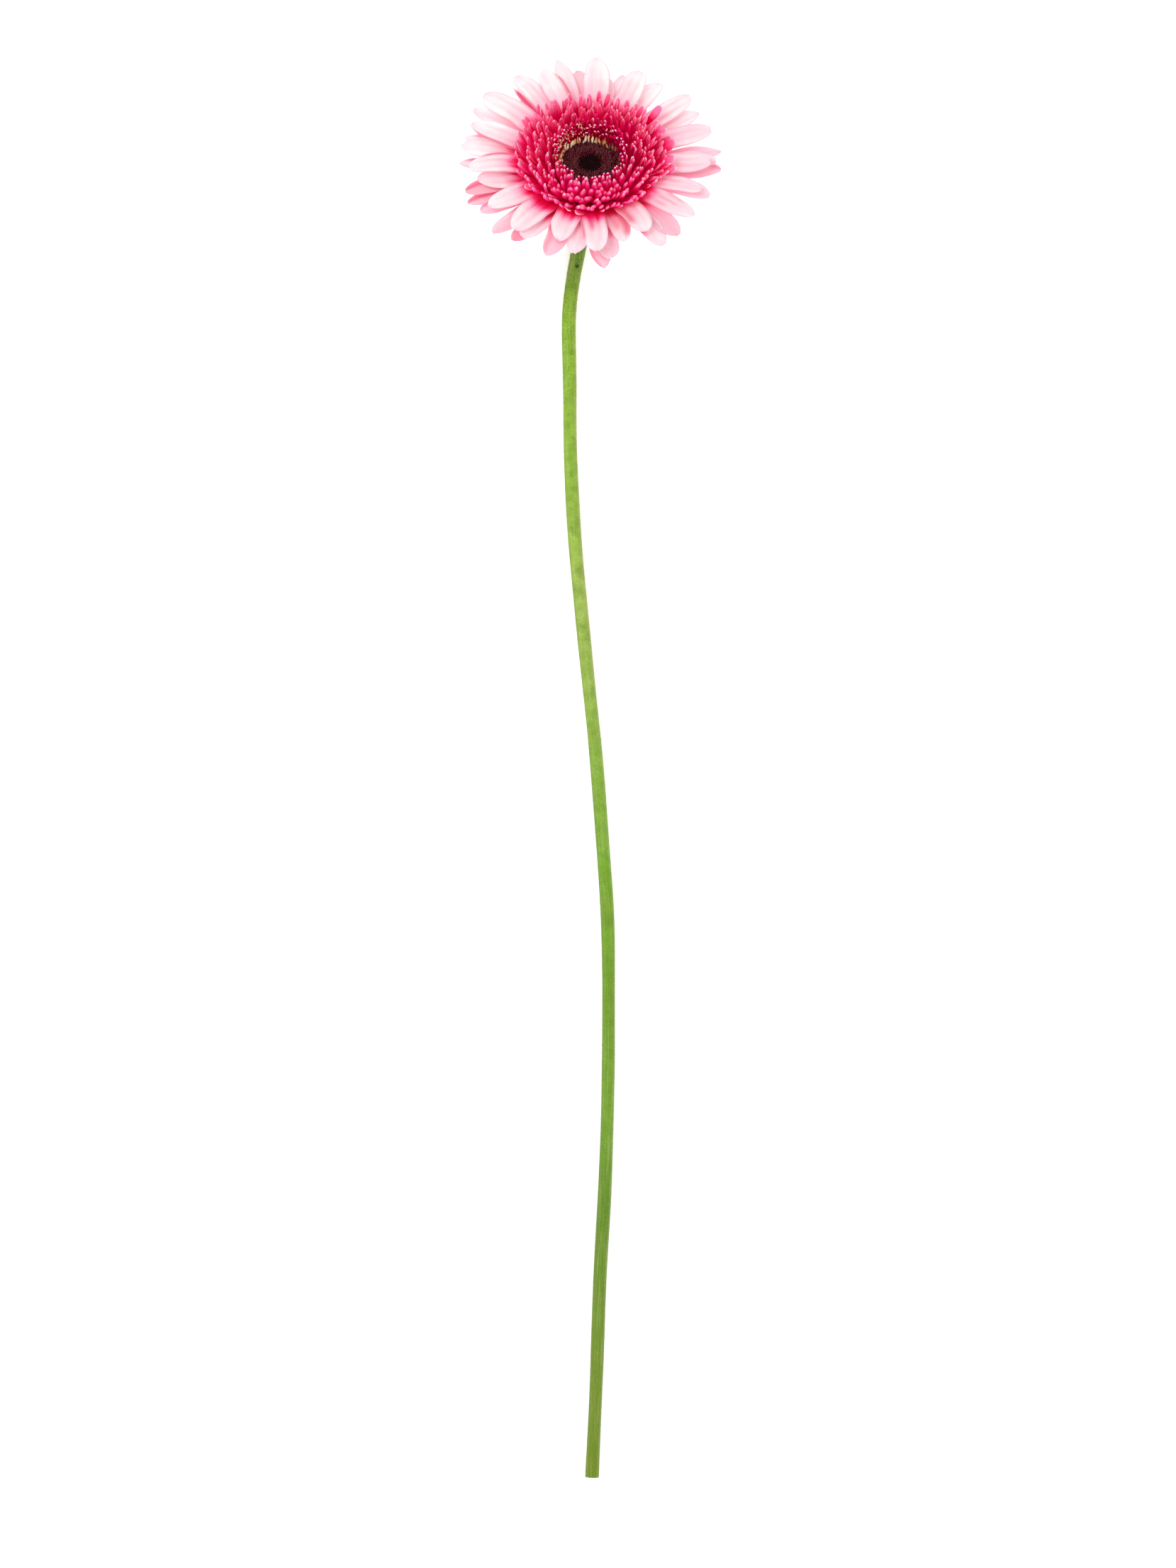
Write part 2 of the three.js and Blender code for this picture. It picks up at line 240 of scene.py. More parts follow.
# Each colour goes over those before it by its share, and last the pale green flesh of the cut.
colour = green
for share, code in [(mottled, "#5a8a1c"), (grain_share, "#456420"), (streaked, "#bfd084"),
                    (blotched, "#7d7a34"), (dark_spot, "#33301a"), (left, "#76823e"), (right, "#b59470"),
                    (top, "#a80030"), (flesh_shown, "#c3cf8e")]:
    colour = add_node(tree, "Mix", {0: share, 6: colour, 7: code}, data_type="RGBA")
grain = add_node(tree, "Bump", {"Height": streak, "Strength": 0.5, "Distance": 0.0003})
feed(shader, {"Base Color": colour, "Normal": grain, "Sheen Weight": 0.05, "Sheen Roughness": 0.4,
              "Specular IOR Level": 0.12})

# The stalk's rings of corners, which start 42 mm from the eye, give its middle line and radius. The neck
# is an arc between them and the receptacle's back, with the radii of the swelling at nine equal steps.
STALK_CORNERS = 16
STALK_START = 42.0
STALK_RADIUS = 2.9
NECK_START = 19.0
NECK_RADII = np.array([16.0, 12.7, 8.8, 6.0, 4.5, 3.7, 3.3, 3.12, 3.05])
corners = node_points("stem")
stalk = corners[corners[:, 1] < eye[1] - STALK_START]
stalk = stalk[np.argsort(-stalk[:, 1])].reshape(-1, STALK_CORNERS, 3)
stalk_line = stalk.mean(1)
stalk_radii = np.linalg.norm(stalk[:, 0] - stalk_line, axis=1)
neck_top = eye - head_axes[:, 2] * NECK_START
open_angle = np.pi / 2 - tilt
bend = (neck_top[2] - NECK_RADII[-1]) / (1 - np.cos(open_angle))
angle = open_angle * (1 - np.linspace(0, 1, len(NECK_RADII)))
neck_y = neck_top[1] - bend * (np.sin(open_angle) - np.sin(angle))
neck_z = np.maximum(neck_top[2] + bend * (np.cos(open_angle) - np.cos(angle)), NECK_RADII)
neck_x = np.interp(-neck_y, [-neck_top[1], -stalk_line[0, 1]], [neck_top[0], stalk_line[0, 0]])
line = np.concatenate([layered(neck_x, neck_y, neck_z), stalk_line])
radii = np.concatenate([NECK_RADII, stalk_radii])
knots = np.concatenate([[0], np.cumsum(np.linalg.norm(np.diff(line, axis=0), axis=1))])
stem_length = knots[-1]


def ring_axes(direction):
    """Two axes square to each direction: the row's x axis less its part along the direction, over its
    length, and the cross product of the direction with that."""
    side = unit(np.array([1.0, 0, 0]) - direction * direction[:, :1])
    return side, np.cross(direction, side)


def spokes(side, other, angle):
    """Directions round a line: the side times each angle's cosine plus the other axis times its sine."""
    return side[:, None] * np.cos(angle)[:, None] + other[:, None] * np.sin(angle)[:, None]


SIDES = 48
around = np.linspace(0, 2 * np.pi, SIDES, endpoint=False)


def stem_ring(centre, direction, radius):
    """Rings square to the line: each point is its centre plus the radius along the spoke at its angle."""
    return centre[:, None] + spokes(*ring_axes(direction), around) * radius[..., None]


# Rings are close together on the neck and further apart down the stalk.
place = np.concatenate([np.linspace(0, 34, 40, endpoint=False), np.linspace(34, stem_length, 330)])
middle = smooth_through(knots, line, place)
direction = unit(np.gradient(middle, place, axis=0))
direction[0] = -head_axes[:, 2]
plain = smooth_through(knots, radii, place)
# Ribs 0.06 mm high, swells of a tenth of a millimetre every few centimetres, and all of it just clear
# of the surface that the stalk lies on.
CLEARANCE = 0.02
END_CLEARANCE = 0.03
RIBS = 9
ribs = 0.06 * np.cos(RIBS * around + 0.6 * np.sin(place / 55)[:, None])
swell = 0.07 * np.sin(place / 23 + 1.3) + 0.05 * np.sin(place / 9.5)
skin_radius = plain[:, None] + ribs + swell[:, None] * np.clip(place / 40, 0, 1)[:, None]
rings = stem_ring(middle, direction, skin_radius)
rings[..., 2] = np.maximum(rings[..., 2], CLEARANCE)

# The receptacle's section: radius and depth behind the eye's face, from its domed top to its back.
CUP = np.array([[0.6, 12.1], [8.9, 12.65], [13.5, 13.5], [16.6, 14.1], [17.6, 14.8], [17.75, 15.6],
                [17.5, 16.5], [17.1, 17.4], [16.6, 18.3]])
back = np.repeat(-head_axes[None, :, 2], len(CUP), axis=0)
cup_rings = stem_ring(eye + back * CUP[:, 1:], back, np.repeat(CUP[:, :1], SIDES, axis=1))
# The cut end, as shares of the radius and millimetres past the stalk: the wall turns in over a sixth of
# a millimetre and the face is slightly hollow.
END = np.array([[0.96, 0.15], [0.86, 0.2], [0.7, 0.05], [0.45, -0.25], [0.15, -0.4]])
end_line = middle[-1] + direction[-1] * END[:, 1:]
end_rings = stem_ring(end_line, np.repeat(direction[-1:], len(END), axis=0), skin_radius[-1] * END[:, :1])
end_rings[..., 2] = np.maximum(end_rings[..., 2], END_CLEARANCE)
# Kept for the skin: millimetres round and along with how much of the flesh shows, and the cosine of the
# angle round the stalk, which is one on its right side.
run = np.concatenate([np.linspace(-9, -0.5, len(CUP)), place, place[-1] + np.linspace(0.1, 1, len(END))])
flesh_share = np.concatenate([np.zeros(len(CUP) + len(place)), [0.35, 1.0, 0.7, 1.0, 0.8]])
skin_place = layered(around * STALK_RADIUS, run[:, None], flesh_share[:, None])
turned = layered(np.cos(around), 0 * run[:, None], 0.0)
whole = lofted(np.concatenate([cup_rings, rings, end_rings])[None])
stem = make_piece("flower_stem", *whole, stem_skin, skin=skin_place, girth=turned)
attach(stem, "root")
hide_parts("stem")


# ---- Down on the stem ----------------------------------------------------------------------------
# Short soft hairs all over the stalk, thickest under the head. They are plant hairs of one cell row,
# clear to whitish; real ones are 0.03 mm thick, and these are 0.075 mm so that they show.

def hair_material(name, roughness, sheen, foot_colour, tip_colour):
    """A material whose colour runs from the foot of each hair to its tip."""
    material, tree, shader = new_material(name, roughness)
    shade = add_node(tree, "Attribute", giving="Vector", attribute_name="shade")
    along_hair = add_node(tree, "SeparateXYZ", {"Vector": shade})
    colour = add_node(tree, "ValToRGB", {"Fac": along_hair}, stops=[(0.0, foot_colour), (1.0, tip_colour)])
    feed(shader, {"Base Color": colour, "Sheen Weight": sheen})
    return material


def hairs(roots, ways, lengths, thick):
    """Four-sided tapering hairs: each ring is the root plus the way times its share of the length,
    with a side and a cross side at right angles to the way scaled by the falling thickness. Gives the
    rings and the share along the hair at each corner."""
    side = unit(np.cross(ways, [0.31, 0.62, 0.72]))
    share = np.array([-0.08, 0.5, 1.0])
    taper = np.array([1.0, 0.75, 0.25]) * thick / 2
    lines = roots[:, None] + ways[:, None] * lengths[:, None, None] * share[:, None]
    corner = spokes(side, np.cross(ways, side), np.radians([0, 90, 180, 270]))
    rings = lines[:, :, None] + corner[:, None] * taper[:, None, None]
    return rings, np.broadcast_to(share[:, None, None], rings.shape)


down = hair_material("plant hair, whitish down", 0.6, 0.3, "#a9bd74", "#f2f3ea")
HAIRS = 6400
HAIR_THICK = 0.075
chance = np.random.default_rng(11)
down_place = stem_length * chance.random(HAIRS) ** 1.35
down_angle = (chance.random(HAIRS) * 2 * np.pi)[:, None]
step = smooth_through(knots, line, np.minimum(down_place + 0.5, stem_length))
down_way = unit(step - smooth_through(knots, line, np.maximum(down_place - 0.5, 0)))
side, up = ring_axes(down_way)
spoke = side * np.cos(down_angle) + up * np.sin(down_angle)
root = smooth_through(knots, line, down_place) + spoke * smooth_through(knots, radii, down_place)[:, None]
hair_way = unit(spoke + chance.normal(0, 0.35, (HAIRS, 3)) + down_way * 0.2)
length = chance.uniform(0.35, 0.95, HAIRS)
# Only those that stay clear of the surface that the stalk lies on.
clear = (root[:, 2] + hair_way[:, 2] * length > 0.1) & (root[:, 2] > 0.3)
rings, shade = hairs(root[clear], hair_way[clear], length[clear], HAIR_THICK)
stem_down = make_piece("stem_down", *lofted(rings), down, shade=shade)
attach(stem_down, "root")
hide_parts("stem")


# ---- Bracts --------------------------------------------------------------------------------------
# Three rows of narrow leafy scales that wrap the receptacle behind the head, each row shorter and
# lower than the next. Olive green with purplish tips and downy edges, and they overlap like tiles.

bract_skin, tree, shader = new_material("gerbera bract, downy leaf", 0.6)
leaf = add_node(tree, "Attribute", giving="Vector", attribute_name="leaf")
along_bract = add_node(tree, "SeparateXYZ", {"Vector": leaf}, giving="Y")
green = add_node(tree, "ValToRGB", {"Fac": along_bract}, stops=[
    (0.0, "#6c8438"), (1.0, "#7d4a52"), (0.5, "#7f9a45"), (0.82, "#86934a")])
vein_place = add_node(tree, "VectorMath", {0: leaf, 1: (5.0, 1.2, 1.0)}, operation="MULTIPLY")
vein = add_node(tree, "TexNoise", {"Vector": vein_place, "Scale": 1.0, "Detail": 3.0})
veined = add_node(tree, "MapRange", {"Value": vein, "From Min": 0.45, "From Max": 0.75, "To Max": 0.5})
colour = add_node(tree, "Mix", {0: veined, 6: green, 7: "#a9bb75"}, data_type="RGBA")
rough = add_node(tree, "Bump", {"Height": vein, "Strength": 0.4, "Distance": 0.0002})
feed(shader, {"Base Color": colour, "Normal": rough, "Sheen Weight": 0.3})


def row_curve(name):
    """The meridian of a CAD ring: its radius as a cubic in the level, fitted to the ring's corners,
    with the ring's lowest and highest level."""
    ring = in_head(node_points(name))
    radius = np.hypot(ring[:, 0], ring[:, 1])
    return np.polyfit(ring[:, 2], radius, 3), ring[:, 2].min(), ring[:, 2].max()


def scales(radius, level, way, half_width, section, sway=0.0, roll=0.0):
    """Blades set round the head's axis, radius and level as arrays (blade, station): each section corner
    is its place across times the half width along the tangent, and its place through times the wall
    along the blade's own normal, which is the meridian's slope turned a right angle. Roll turns the
    section."""
    slope_r = np.gradient(radius, axis=1)
    slope_z = np.gradient(level, axis=1)
    size = np.hypot(slope_r, slope_z)
    angle = way + sway
    outward = np.stack([np.cos(angle), np.sin(angle)], axis=-1)
    tangent = np.stack([-np.sin(angle), np.cos(angle)], axis=-1)
    across = section[:, 0] * half_width[..., None]
    through = np.broadcast_to(section[:, 1], across.shape) * np.minimum(1, half_width / 0.5)[..., None]
    turn = np.broadcast_to(roll, radius.shape)[..., None]
    a = across * np.cos(turn) - through * np.sin(turn)
    b = across * np.sin(turn) + through * np.cos(turn)
    far = radius[..., None] + b * (-slope_z / size)[..., None]
    high = level[..., None] + b * (slope_r / size)[..., None]
    flat = outward[:, :, None] * far[..., None] + tangent[:, :, None] * a[..., None]
    return np.concatenate([flat, high[..., None]], axis=-1)


BRACT_SECTION = np.array([[-1, 0.05], [-0.5, -0.18], [0, -0.22], [0.5, -0.18], [1, 0.05], [0.95, -0.1],
                          [0.5, -0.5], [0, -0.62], [-0.5, -0.5], [-0.95, -0.1]])
t = np.linspace(0, 1, 12)
outline = np.clip(1 - np.clip((t - 0.1) / 0.9, 0, 1) ** 2.0, 0.02, 1) ** 0.85
for row, (name, count) in enumerate([("bracts_outer", 26), ("bracts_middle", 29), ("bracts_inner", 32)]):
    chance = np.random.default_rng(20 + row)
    curve, low, high = row_curve(name)
    way = 2 * np.pi * (np.arange(count) + 0.5 * row + chance.uniform(-0.12, 0.12, count)) / count
    reach = chance.uniform(0.9, 1.05, count)[:, None]
    level = low + (high - low) * t * reach
    # The tips stand off by 0.25 mm, and the feet reach 1.5 mm into the receptacle.
    radius = np.polyval(curve, level) + 0.25 * t ** 2 - 1.5 * np.clip(1 - t / 0.15, 0, 1)
    widest = 2 * np.pi * radius[:, 1:2] / count * 0.66
    body = scales(radius, level, way[:, None], widest * outline, BRACT_SECTION)
    kept = layered(BRACT_SECTION[:, 0], t[:, None], np.arange(count)[:, None, None] + 40.0 * row)
    piece = make_piece(name + "_scales", *lofted(out_of_head(body)), bract_skin, leaf=kept)
    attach(piece, "root")
    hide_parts(name)


# ---- Ray petals ----------------------------------------------------------------------------------
# Forty-seven strap-shaped petals in four layers, each a thin soft blade on a narrow claw. Crimson at
# the root, pink half way and nearly white outside, with fine veins along them and mauve-pink rims.

ray_skin, tree, shader = new_material("gerbera ray petal, fresh and velvety", 0.5)
blade = add_node(tree, "Attribute", giving="Vector", attribute_name="blade")
tint = add_node(tree, "Attribute", giving="Vector", attribute_name="tint")
how_pale, how_stained_and_shaded, how_rimmed = add_node(tree, "SeparateXYZ", {"Vector": tint}, giving=slice(3))
# Veins 0.5 mm apart run the length of the blade, and soft clouds 3 mm wide break up the blush.
vein_place = add_node(tree, "VectorMath", {0: blade, 1: (2.0, 0.06, 1.7)}, operation="MULTIPLY")
vein = add_node(tree, "TexNoise", {"Vector": vein_place, "Scale": 1.0, "Detail": 2.0})
cloud_place = add_node(tree, "VectorMath", {0: blade, 1: (0.35, 0.1, 2.3)}, operation="MULTIPLY")
cloud = add_node(tree, "TexNoise", {"Vector": cloud_place, "Scale": 1.0, "Detail": 2.0})
vein_shift = add_node(tree, "Math", {0: vein, 1: 0.1, 2: -0.05}, operation="MULTIPLY_ADD")
cloud_shift = add_node(tree, "Math", {0: cloud, 1: 0.26, 2: -0.13}, operation="MULTIPLY_ADD")
shift = add_node(tree, "Math", {0: vein_shift, 1: cloud_shift})
paleness_and_shade = add_node(tree, "Math", {0: shift, 1: how_pale})
blush = add_node(tree, "ValToRGB", {"Fac": paleness_and_shade}, stops=[
    (0.0, "#c40034"), (1.0, "#fff1f1"), (0.2, "#d40240"), (0.3, "#e0124c"), (0.38, "#f03e76"),
    (0.46, "#fa76a2"), (0.53, "#fd9cba"), (0.6, "#febacc"), (0.74, "#fed0db"), (0.86, "#fedce1")])
# Deep crimson of folds and streaks, and of painted shade, over the blush.
stained_and_shaded = add_node(tree, "Mix", {0: how_stained_and_shaded, 6: blush, 7: "#d8145c"}, data_type="RGBA")
rimmed = add_node(tree, "Mix", {0: how_rimmed, 6: stained_and_shaded, 7: "#e896b6"}, data_type="RGBA")
furrows = add_node(tree, "Bump", {"Height": vein, "Strength": 0.35, "Distance": 0.0004})
# Light soaks through the thin blades, and they glow a little of their own colour, which is painted light
# that lifts them where they are shaded.
feed(shader, {"Base Color": rimmed, "Normal": furrows, "Specular IOR Level": 0.12,
              "Subsurface Weight": 0.4, "Subsurface Radius": (1.0, 0.4, 0.45), "Subsurface Scale": 0.0015,
              "Emission Color": rimmed, "Emission Strength": 0.08})


def ease(x, low, high):
    """Zero below low, one above high, and 3t^2 - 2t^3 of the share t between."""
    t = np.clip((x - low) / (high - low), 0, 1)
    return t * t * (3 - 2 * t)


def hump(x, middle, width):
    """A bell curve, one at the middle: e to minus the square of the offset over the width."""
    return np.exp(-((x - middle) / width) ** 2)


def towards(angle, degrees, low, high):
    """How much an angle points to a direction, nought to one: the cosine of the angle between them,
    eased from low to high."""
    return ease(np.cos(angle - np.radians(degrees)), low, high)


# Every CAD petal has seven sections of eight corners.
SECTIONS = 7
SECTION_CORNERS = 8


def blade_sections(name):
    """A CAD petal read back as its sections of corners, each at one radius: the radius, the direction
    of its middle, half its width, the level of its middle and of its edges."""
    corner = in_head(node_points(name))
    radius = np.hypot(corner[:, 0], corner[:, 1])
    ahead = np.arctan2(corner[:, 1].mean(), corner[:, 0].mean())
    off = (np.arctan2(corner[:, 1], corner[:, 0]) - ahead + np.pi) % (2 * np.pi) - np.pi
    by_radius = np.argsort(radius).reshape(SECTIONS, SECTION_CORNERS)
    across = np.argsort(off[by_radius], axis=1)
    order = np.take_along_axis(by_radius, across, axis=1)
    half = (off[order[:, -1]] - off[order[:, 0]]) / 2 * radius[order].mean(1)
    direction = ahead + (off[order[:, -1]] + off[order[:, 0]]) / 2
    level = corner[order[:, 3:5], 2].mean(1)
    edge = corner[order[:, [0, -1]], 2].mean(1)
    return radius[order].mean(1), direction, half, level, edge


def both_faces(upper, under):
    """Rings round a blade: over its upper face, and back along its under face."""
    return np.concatenate([upper, under[:, ::-1]], axis=1)


def round_axis(radius, angle, level):
    """Places round the head's axis: the radius times the angle's cosine and sine, and the level."""
    return layered(radius * np.cos(angle), radius * np.sin(angle), level)


# Folds, streaks and rolled edges that show the deep colour of the other face, and painted shade where a
# petal lies under its neighbour, by petal: the middle of the mark across the blade, its width, the shares
# of the blade where it starts and ends, its strength.
FOLD_AND_SHADE_MARKS = {
    9: [(0.4, 0.5, 0.4, 0.8, 0.15)],
    10: [(0.0, 1.5, 0.3, 1.2, 0.12)],
    12: [(0.0, 2.0, 0.3, 1.2, 0.22)],
    14: [(-0.92, 0.3, 0.35, 0.95, 0.75)],
    15: [(0.5, 0.5, 0.3, 0.9, 0.35)],
    16: [(-0.9, 0.25, 0.35, 0.8, 0.5)],
    17: [(0.1, 1.4, 0.2, 1.02, 0.95)],
    20: [(0.93, 0.13, 0.3, 1.0, 0.85)],
    21: [(-0.65, 0.45, 0.35, 0.98, 0.75)],
    23: [(-0.7, 0.4, 0.35, 1.0, 0.8)],
    24: [(-0.93, 0.15, 0.3, 0.9, 0.85)],
    25: [(0.4, 0.35, 0.45, 0.7, 0.4)],
    26: [(0.0, 3.0, 0.3, 1.3, 0.3), (-0.5, 0.5, 0.4, 1.1, 0.8)],
    27: [(-0.5, 0.45, 0.4, 1.1, 0.7), (0.3, 0.8, 0.4, 0.9, 0.15)],
    28: [(-0.7, 0.35, 0.4, 1.05, 0.65), (0.6, 0.5, 0.4, 1.0, 0.2)],
    30: [(0.6, 0.7, 0.4, 1.2, 0.2)],
    32: [(0.0, 3.0, 0.3, 1.3, 0.5)],
    34: [(0.3, 0.45, 0.4, 0.85, 0.45), (-0.7, 0.35, 0.3, 1.05, 0.4)],
    37: [(-0.92, 0.14, 0.3, 0.9, 0.75), (-0.15, 0.2, 0.3, 0.75, 0.75), (0.35, 0.12, 0.3, 0.65, 0.5)],
    38: [(0.5, 0.35, 0.5, 0.95, 0.35), (-0.9, 0.3, 0.5, 1.1, 0.5)],
    39: [(0.5, 0.5, 0.4, 0.75, 0.6)],
    40: [(0.6, 0.5, 0.35, 1.0, 0.7), (-0.2, 0.5, 0.35, 0.85, 0.5)],
    41: [(-0.6, 0.4, 0.35, 0.85, 0.7), (0.9, 0.12, 0.4, 1.0, 0.3)],
    42: [(-0.85, 0.25, 0.3, 0.85, 0.7), (0.6, 0.35, 0.4, 0.9, 0.3)],
    43: [(0.0, 2.0, 0.4, 1.2, 0.2)],
    44: [(0.1, 0.14, 0.45, 0.85, 0.45), (-0.5, 0.2, 0.45, 0.75, 0.35), (0.8, 0.3, 0.5, 0.9, 0.3)],
    45: [(0.35, 0.2, 0.4, 0.8, 0.3)],
    47: [(0.5, 0.5, 0.8, 1.1, 0.45)],
}
# Petals that lie aside of their place: degrees round, millimetres up, shares of width and length.
ASIDE = {16: (-1.0, 0.0, 1.0, 1.0), 17: (-2.0, 4.2, 0.45, 0.87), 18: (2.5, 0.3, 1.0, 1.0),
         43: (0.5, 1.7, 1.3, 1.0)}
PETALS = 47
ACROSS = 17
ALONG = 46
# Petals stay at least this many millimetres above the surface.
PETAL_CLEARANCE = 0.03
side = (np.sin(np.linspace(-0.5, 0.5, ACROSS) * np.pi) * 0.35 + np.linspace(-1, 1, ACROSS) * 0.65)[None, :]
s = 1 - (1 - np.linspace(0, 1, ALONG)) ** 1.5
share = s[:, None]
chance = np.random.default_rng(47)
for number in range(1, PETALS + 1):
    name = f"petal_{number:02d}"
    knot, direction, half, level, edge = blade_sections(name)
    aside, lifted, share_of_width, share_of_length = ASIDE.get(number, (0.0, 0.0, 1.0, 1.0))
    at = knot[0] + (knot[-1] - knot[0]) * s * share_of_length
    direction = direction + np.radians(aside)
    turn = smooth_through(knot, direction, at)[:, None]
    rise = smooth_through(knot, level, at)[:, None] + lifted * ease(share, 0.05, 0.5)
    cup = smooth_through(knot, edge - level, at)[:, None]
    blunt = chance.uniform(2.1, 3.3)
    past = np.clip((share - 0.6) / 0.4, 0, 1)
    outline = (0.45 + 0.55 * ease(share, 0, 0.45)) * np.sqrt(np.clip(1 - past ** blunt, 0.045, 1))
    wave = 0.035 * np.sin(share * chance.uniform(7, 12) + chance.uniform(0, 6) + 0.9 * np.sign(side))
    wave = wave + 0.018 * np.sin(share * chance.uniform(17, 29) + 2.3 * np.sign(side))
    width = half.max() * share_of_width * outline * (1 + wave * ease(share, 0.3, 0.6))
    skew = chance.uniform(-0.3, 0.3) * half.max() * ease(share, 0.7, 1)
    # Two furrows and a keel between them, edges that roll a little, and a tip that is toothed.
    depth = chance.uniform(0.16, 0.3)
    furrow = hump(side, 0.36, 0.15) + hump(side, -0.33, 0.15)
    roll = chance.uniform(-0.5, 0.55) * ease(share, 0.35, 0.9) * np.abs(side) ** 3
    twist = chance.uniform(-0.5, 0.5) * ease(share, 0.3, 1) * side
    flutter = 0.18 * np.sin(share * 11 + chance.uniform(0, 6)) * side ** 2 * ease(share, 0.3, 0.6)
    high = rise + cup * side ** 2 - depth * furrow * ease(share, 0.1, 0.4) * (1 - 0.6 * past)
    high = high + roll + twist + flutter
    teeth = chance.uniform(0.1, 0.9) * hump(side, chance.uniform(-0.3, 0.3), 0.16)
    edge_tooth = chance.uniform(0.0, 0.7) * hump(side, chance.choice([-0.62, 0.62]), 0.14)
    far = at[:, None] - (teeth + edge_tooth) * ease(share, 0.9, 1)
    surface = round_axis(far, turn + (side * width + skew) / far, high)
    normal = unit(np.cross(np.gradient(surface, axis=0), np.gradient(surface, axis=1)))
    wall = ((0.2 + 0.12 * (1 - share)) * (1 - 0.55 * side ** 2))[..., None]
    rings = out_of_head(both_faces(surface + normal * wall, surface - normal * wall))
    rings[..., 2] = np.maximum(rings[..., 2], PETAL_CLEARANCE)
    # How far the blade has paled, nought to one. The crimson reaches furthest out in the petals on the left
    # and towards the stalk. Those that point away from it and up to the left, where the key light falls, are
    # painted paler soonest, and those that point right are painted a little pinker: painted light and shade.
    away = ease(np.sin(direction[-1]), 0.2, 0.9)
    away = np.maximum(away, towards(direction[-1], 155, 0.7, 1))
    near = towards(direction[-1], 228, 0.1, 0.85)
    crimson_end = 0.31 + 0.12 * near + chance.uniform(-0.03, 0.03)
    pink_end = crimson_end + 0.15 + 0.04 * towards(direction[-1], 0, 0.3, 1)
    right = towards(direction[-1], 0, 0.85, 1)
    paled = np.interp(s, [0, crimson_end, pink_end, 0.7, 0.9, 1], [
        0, 0.3, 0.68 - 0.05 * near, 0.85 + 0.1 * away - 0.06 * right,
        0.9 + 0.07 * away - 0.08 * right, 0.87 + 0.03 * away - 0.05 * right])
    # The lower layers, which stand further out on the receptacle in the shade of those above, are painted
    # pinker, with a pinker rim and one pinker side: painted shade.
    under_layer_shade = np.clip((knot[0] - 15.6) / 1.8, 0, 1) * (1 - 0.5 * away)
    # The crimson runs out along the two furrows and the keel, partly their own colour and partly painted
    # shade in the folds, and the margins pale first. One side of each blade is painted a little pinker than
    # the other: painted side shade.
    flames = (furrow + 0.6 * hump(side, 0, 0.1) - 0.8 * side ** 2) * (0.4 + 0.6 * near)
    paleness_and_shade = paled[:, None] + chance.uniform(-0.07, 0.07) * side + chance.uniform(-0.03, 0.02) - 0.06 * under_layer_shade
    paleness_and_shade = paleness_and_shade - chance.uniform(0.04, 0.12) * flames * ease(share, 0.25, 0.4) * (1 - ease(share, 0.6, 0.85))
    # Painted shade: pinker along the two furrows, partly their own pigment, and crimson along the margins
    # near the root, where neighbouring petals overlap.
    stain_and_shade = chance.uniform(0.06, 0.16) * furrow * ease(share, 0.3, 0.5) * (1 - ease(share, 0.75, 1.0))
    stain_and_shade = np.maximum(stain_and_shade, 0.45 * ease(np.abs(side), 0.8, 1.0) * (1 - ease(share, 0.5, 0.8)))
    one_side = ease(side * chance.choice([-1, 1]), 0.2, 1.0) * ease(share, 0.3, 0.5)
    stain_and_shade = np.maximum(stain_and_shade, chance.uniform(0.1, 0.3) * under_layer_shade * one_side)
    for middle_of, wide, begin, end, strength in FOLD_AND_SHADE_MARKS.get(number, []):
        along_mark = ease(share, begin, begin + 0.12) * (1 - ease(share, end - 0.15, end))
        stain_and_shade = np.maximum(stain_and_shade, strength * along_mark * hump(side, middle_of, wide))
    rim = ease(np.maximum(np.abs(side), 0.95 * ease(share, 0.93, 1)), 0.86, 1.0)
    rim = 0.5 * rim * ease(share, 0.4, 0.7)
    tint_top = layered(paleness_and_shade, stain_and_shade, np.maximum(rim, 0.2 * under_layer_shade))
    blade_top = layered(side * width, far, number * 1.0)
    petal = make_piece(f"ray_petal_{number:02d}", *lofted(rings[None]), ray_skin,
                       blade=both_faces(blade_top, blade_top), tint=both_faces(tint_top, tint_top))
    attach(petal, "root")
    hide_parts(name)


# ---- Inner petals --------------------------------------------------------------------------------
# The collar: 426 short strap florets, folded like gutters, in five crowded rows, and 36 longer loose
# ones outside them. Deep crimson inside, cherry pink on their backs and pale at the tips, the outer
# rows longer and pinker.

collar_skin, tree, shader = new_material("gerbera inner petal, fresh and waxy", 0.42)
strap = add_node(tree, "Attribute", giving="Vector", attribute_name="strap")
tone = add_node(tree, "Attribute", giving="Vector", attribute_name="tone")
_, up_strap, on_inside = add_node(tree, "SeparateXYZ", {"Vector": strap}, giving=slice(3))
how_deep, how_pink, how_edge_lit = add_node(tree, "SeparateXYZ", {"Vector": tone}, giving=slice(3))
inner = add_node(tree, "ValToRGB", {"Fac": up_strap}, stops=[
    (0.0, "#8c0028"), (1.0, "#fff2f8"), (0.4, "#b40034"), (0.7, "#cc004e"), (0.84, "#e01064"),
    (0.91, "#f2649e"), (0.96, "#fac6d8")])
outer = add_node(tree, "ValToRGB", {"Fac": up_strap}, stops=[
    (0.0, "#a00036"), (1.0, "#fff0f6"), (0.4, "#c40044"), (0.65, "#dc006a"), (0.8, "#ea2286"),
    (0.88, "#f266aa"), (0.94, "#f8b4d0")])
faced = add_node(tree, "Mix", {0: on_inside, 6: outer, 7: inner}, data_type="RGBA")
deep_inside = add_node(tree, "Math", {0: how_deep, 1: on_inside}, operation="MULTIPLY")
deep = add_node(tree, "Mix", {0: deep_inside, 6: faced, 7: "#78001c"}, data_type="RGBA")
pink = add_node(tree, "Mix", {0: how_pink, 6: deep, 7: "#f482b2"}, data_type="RGBA")
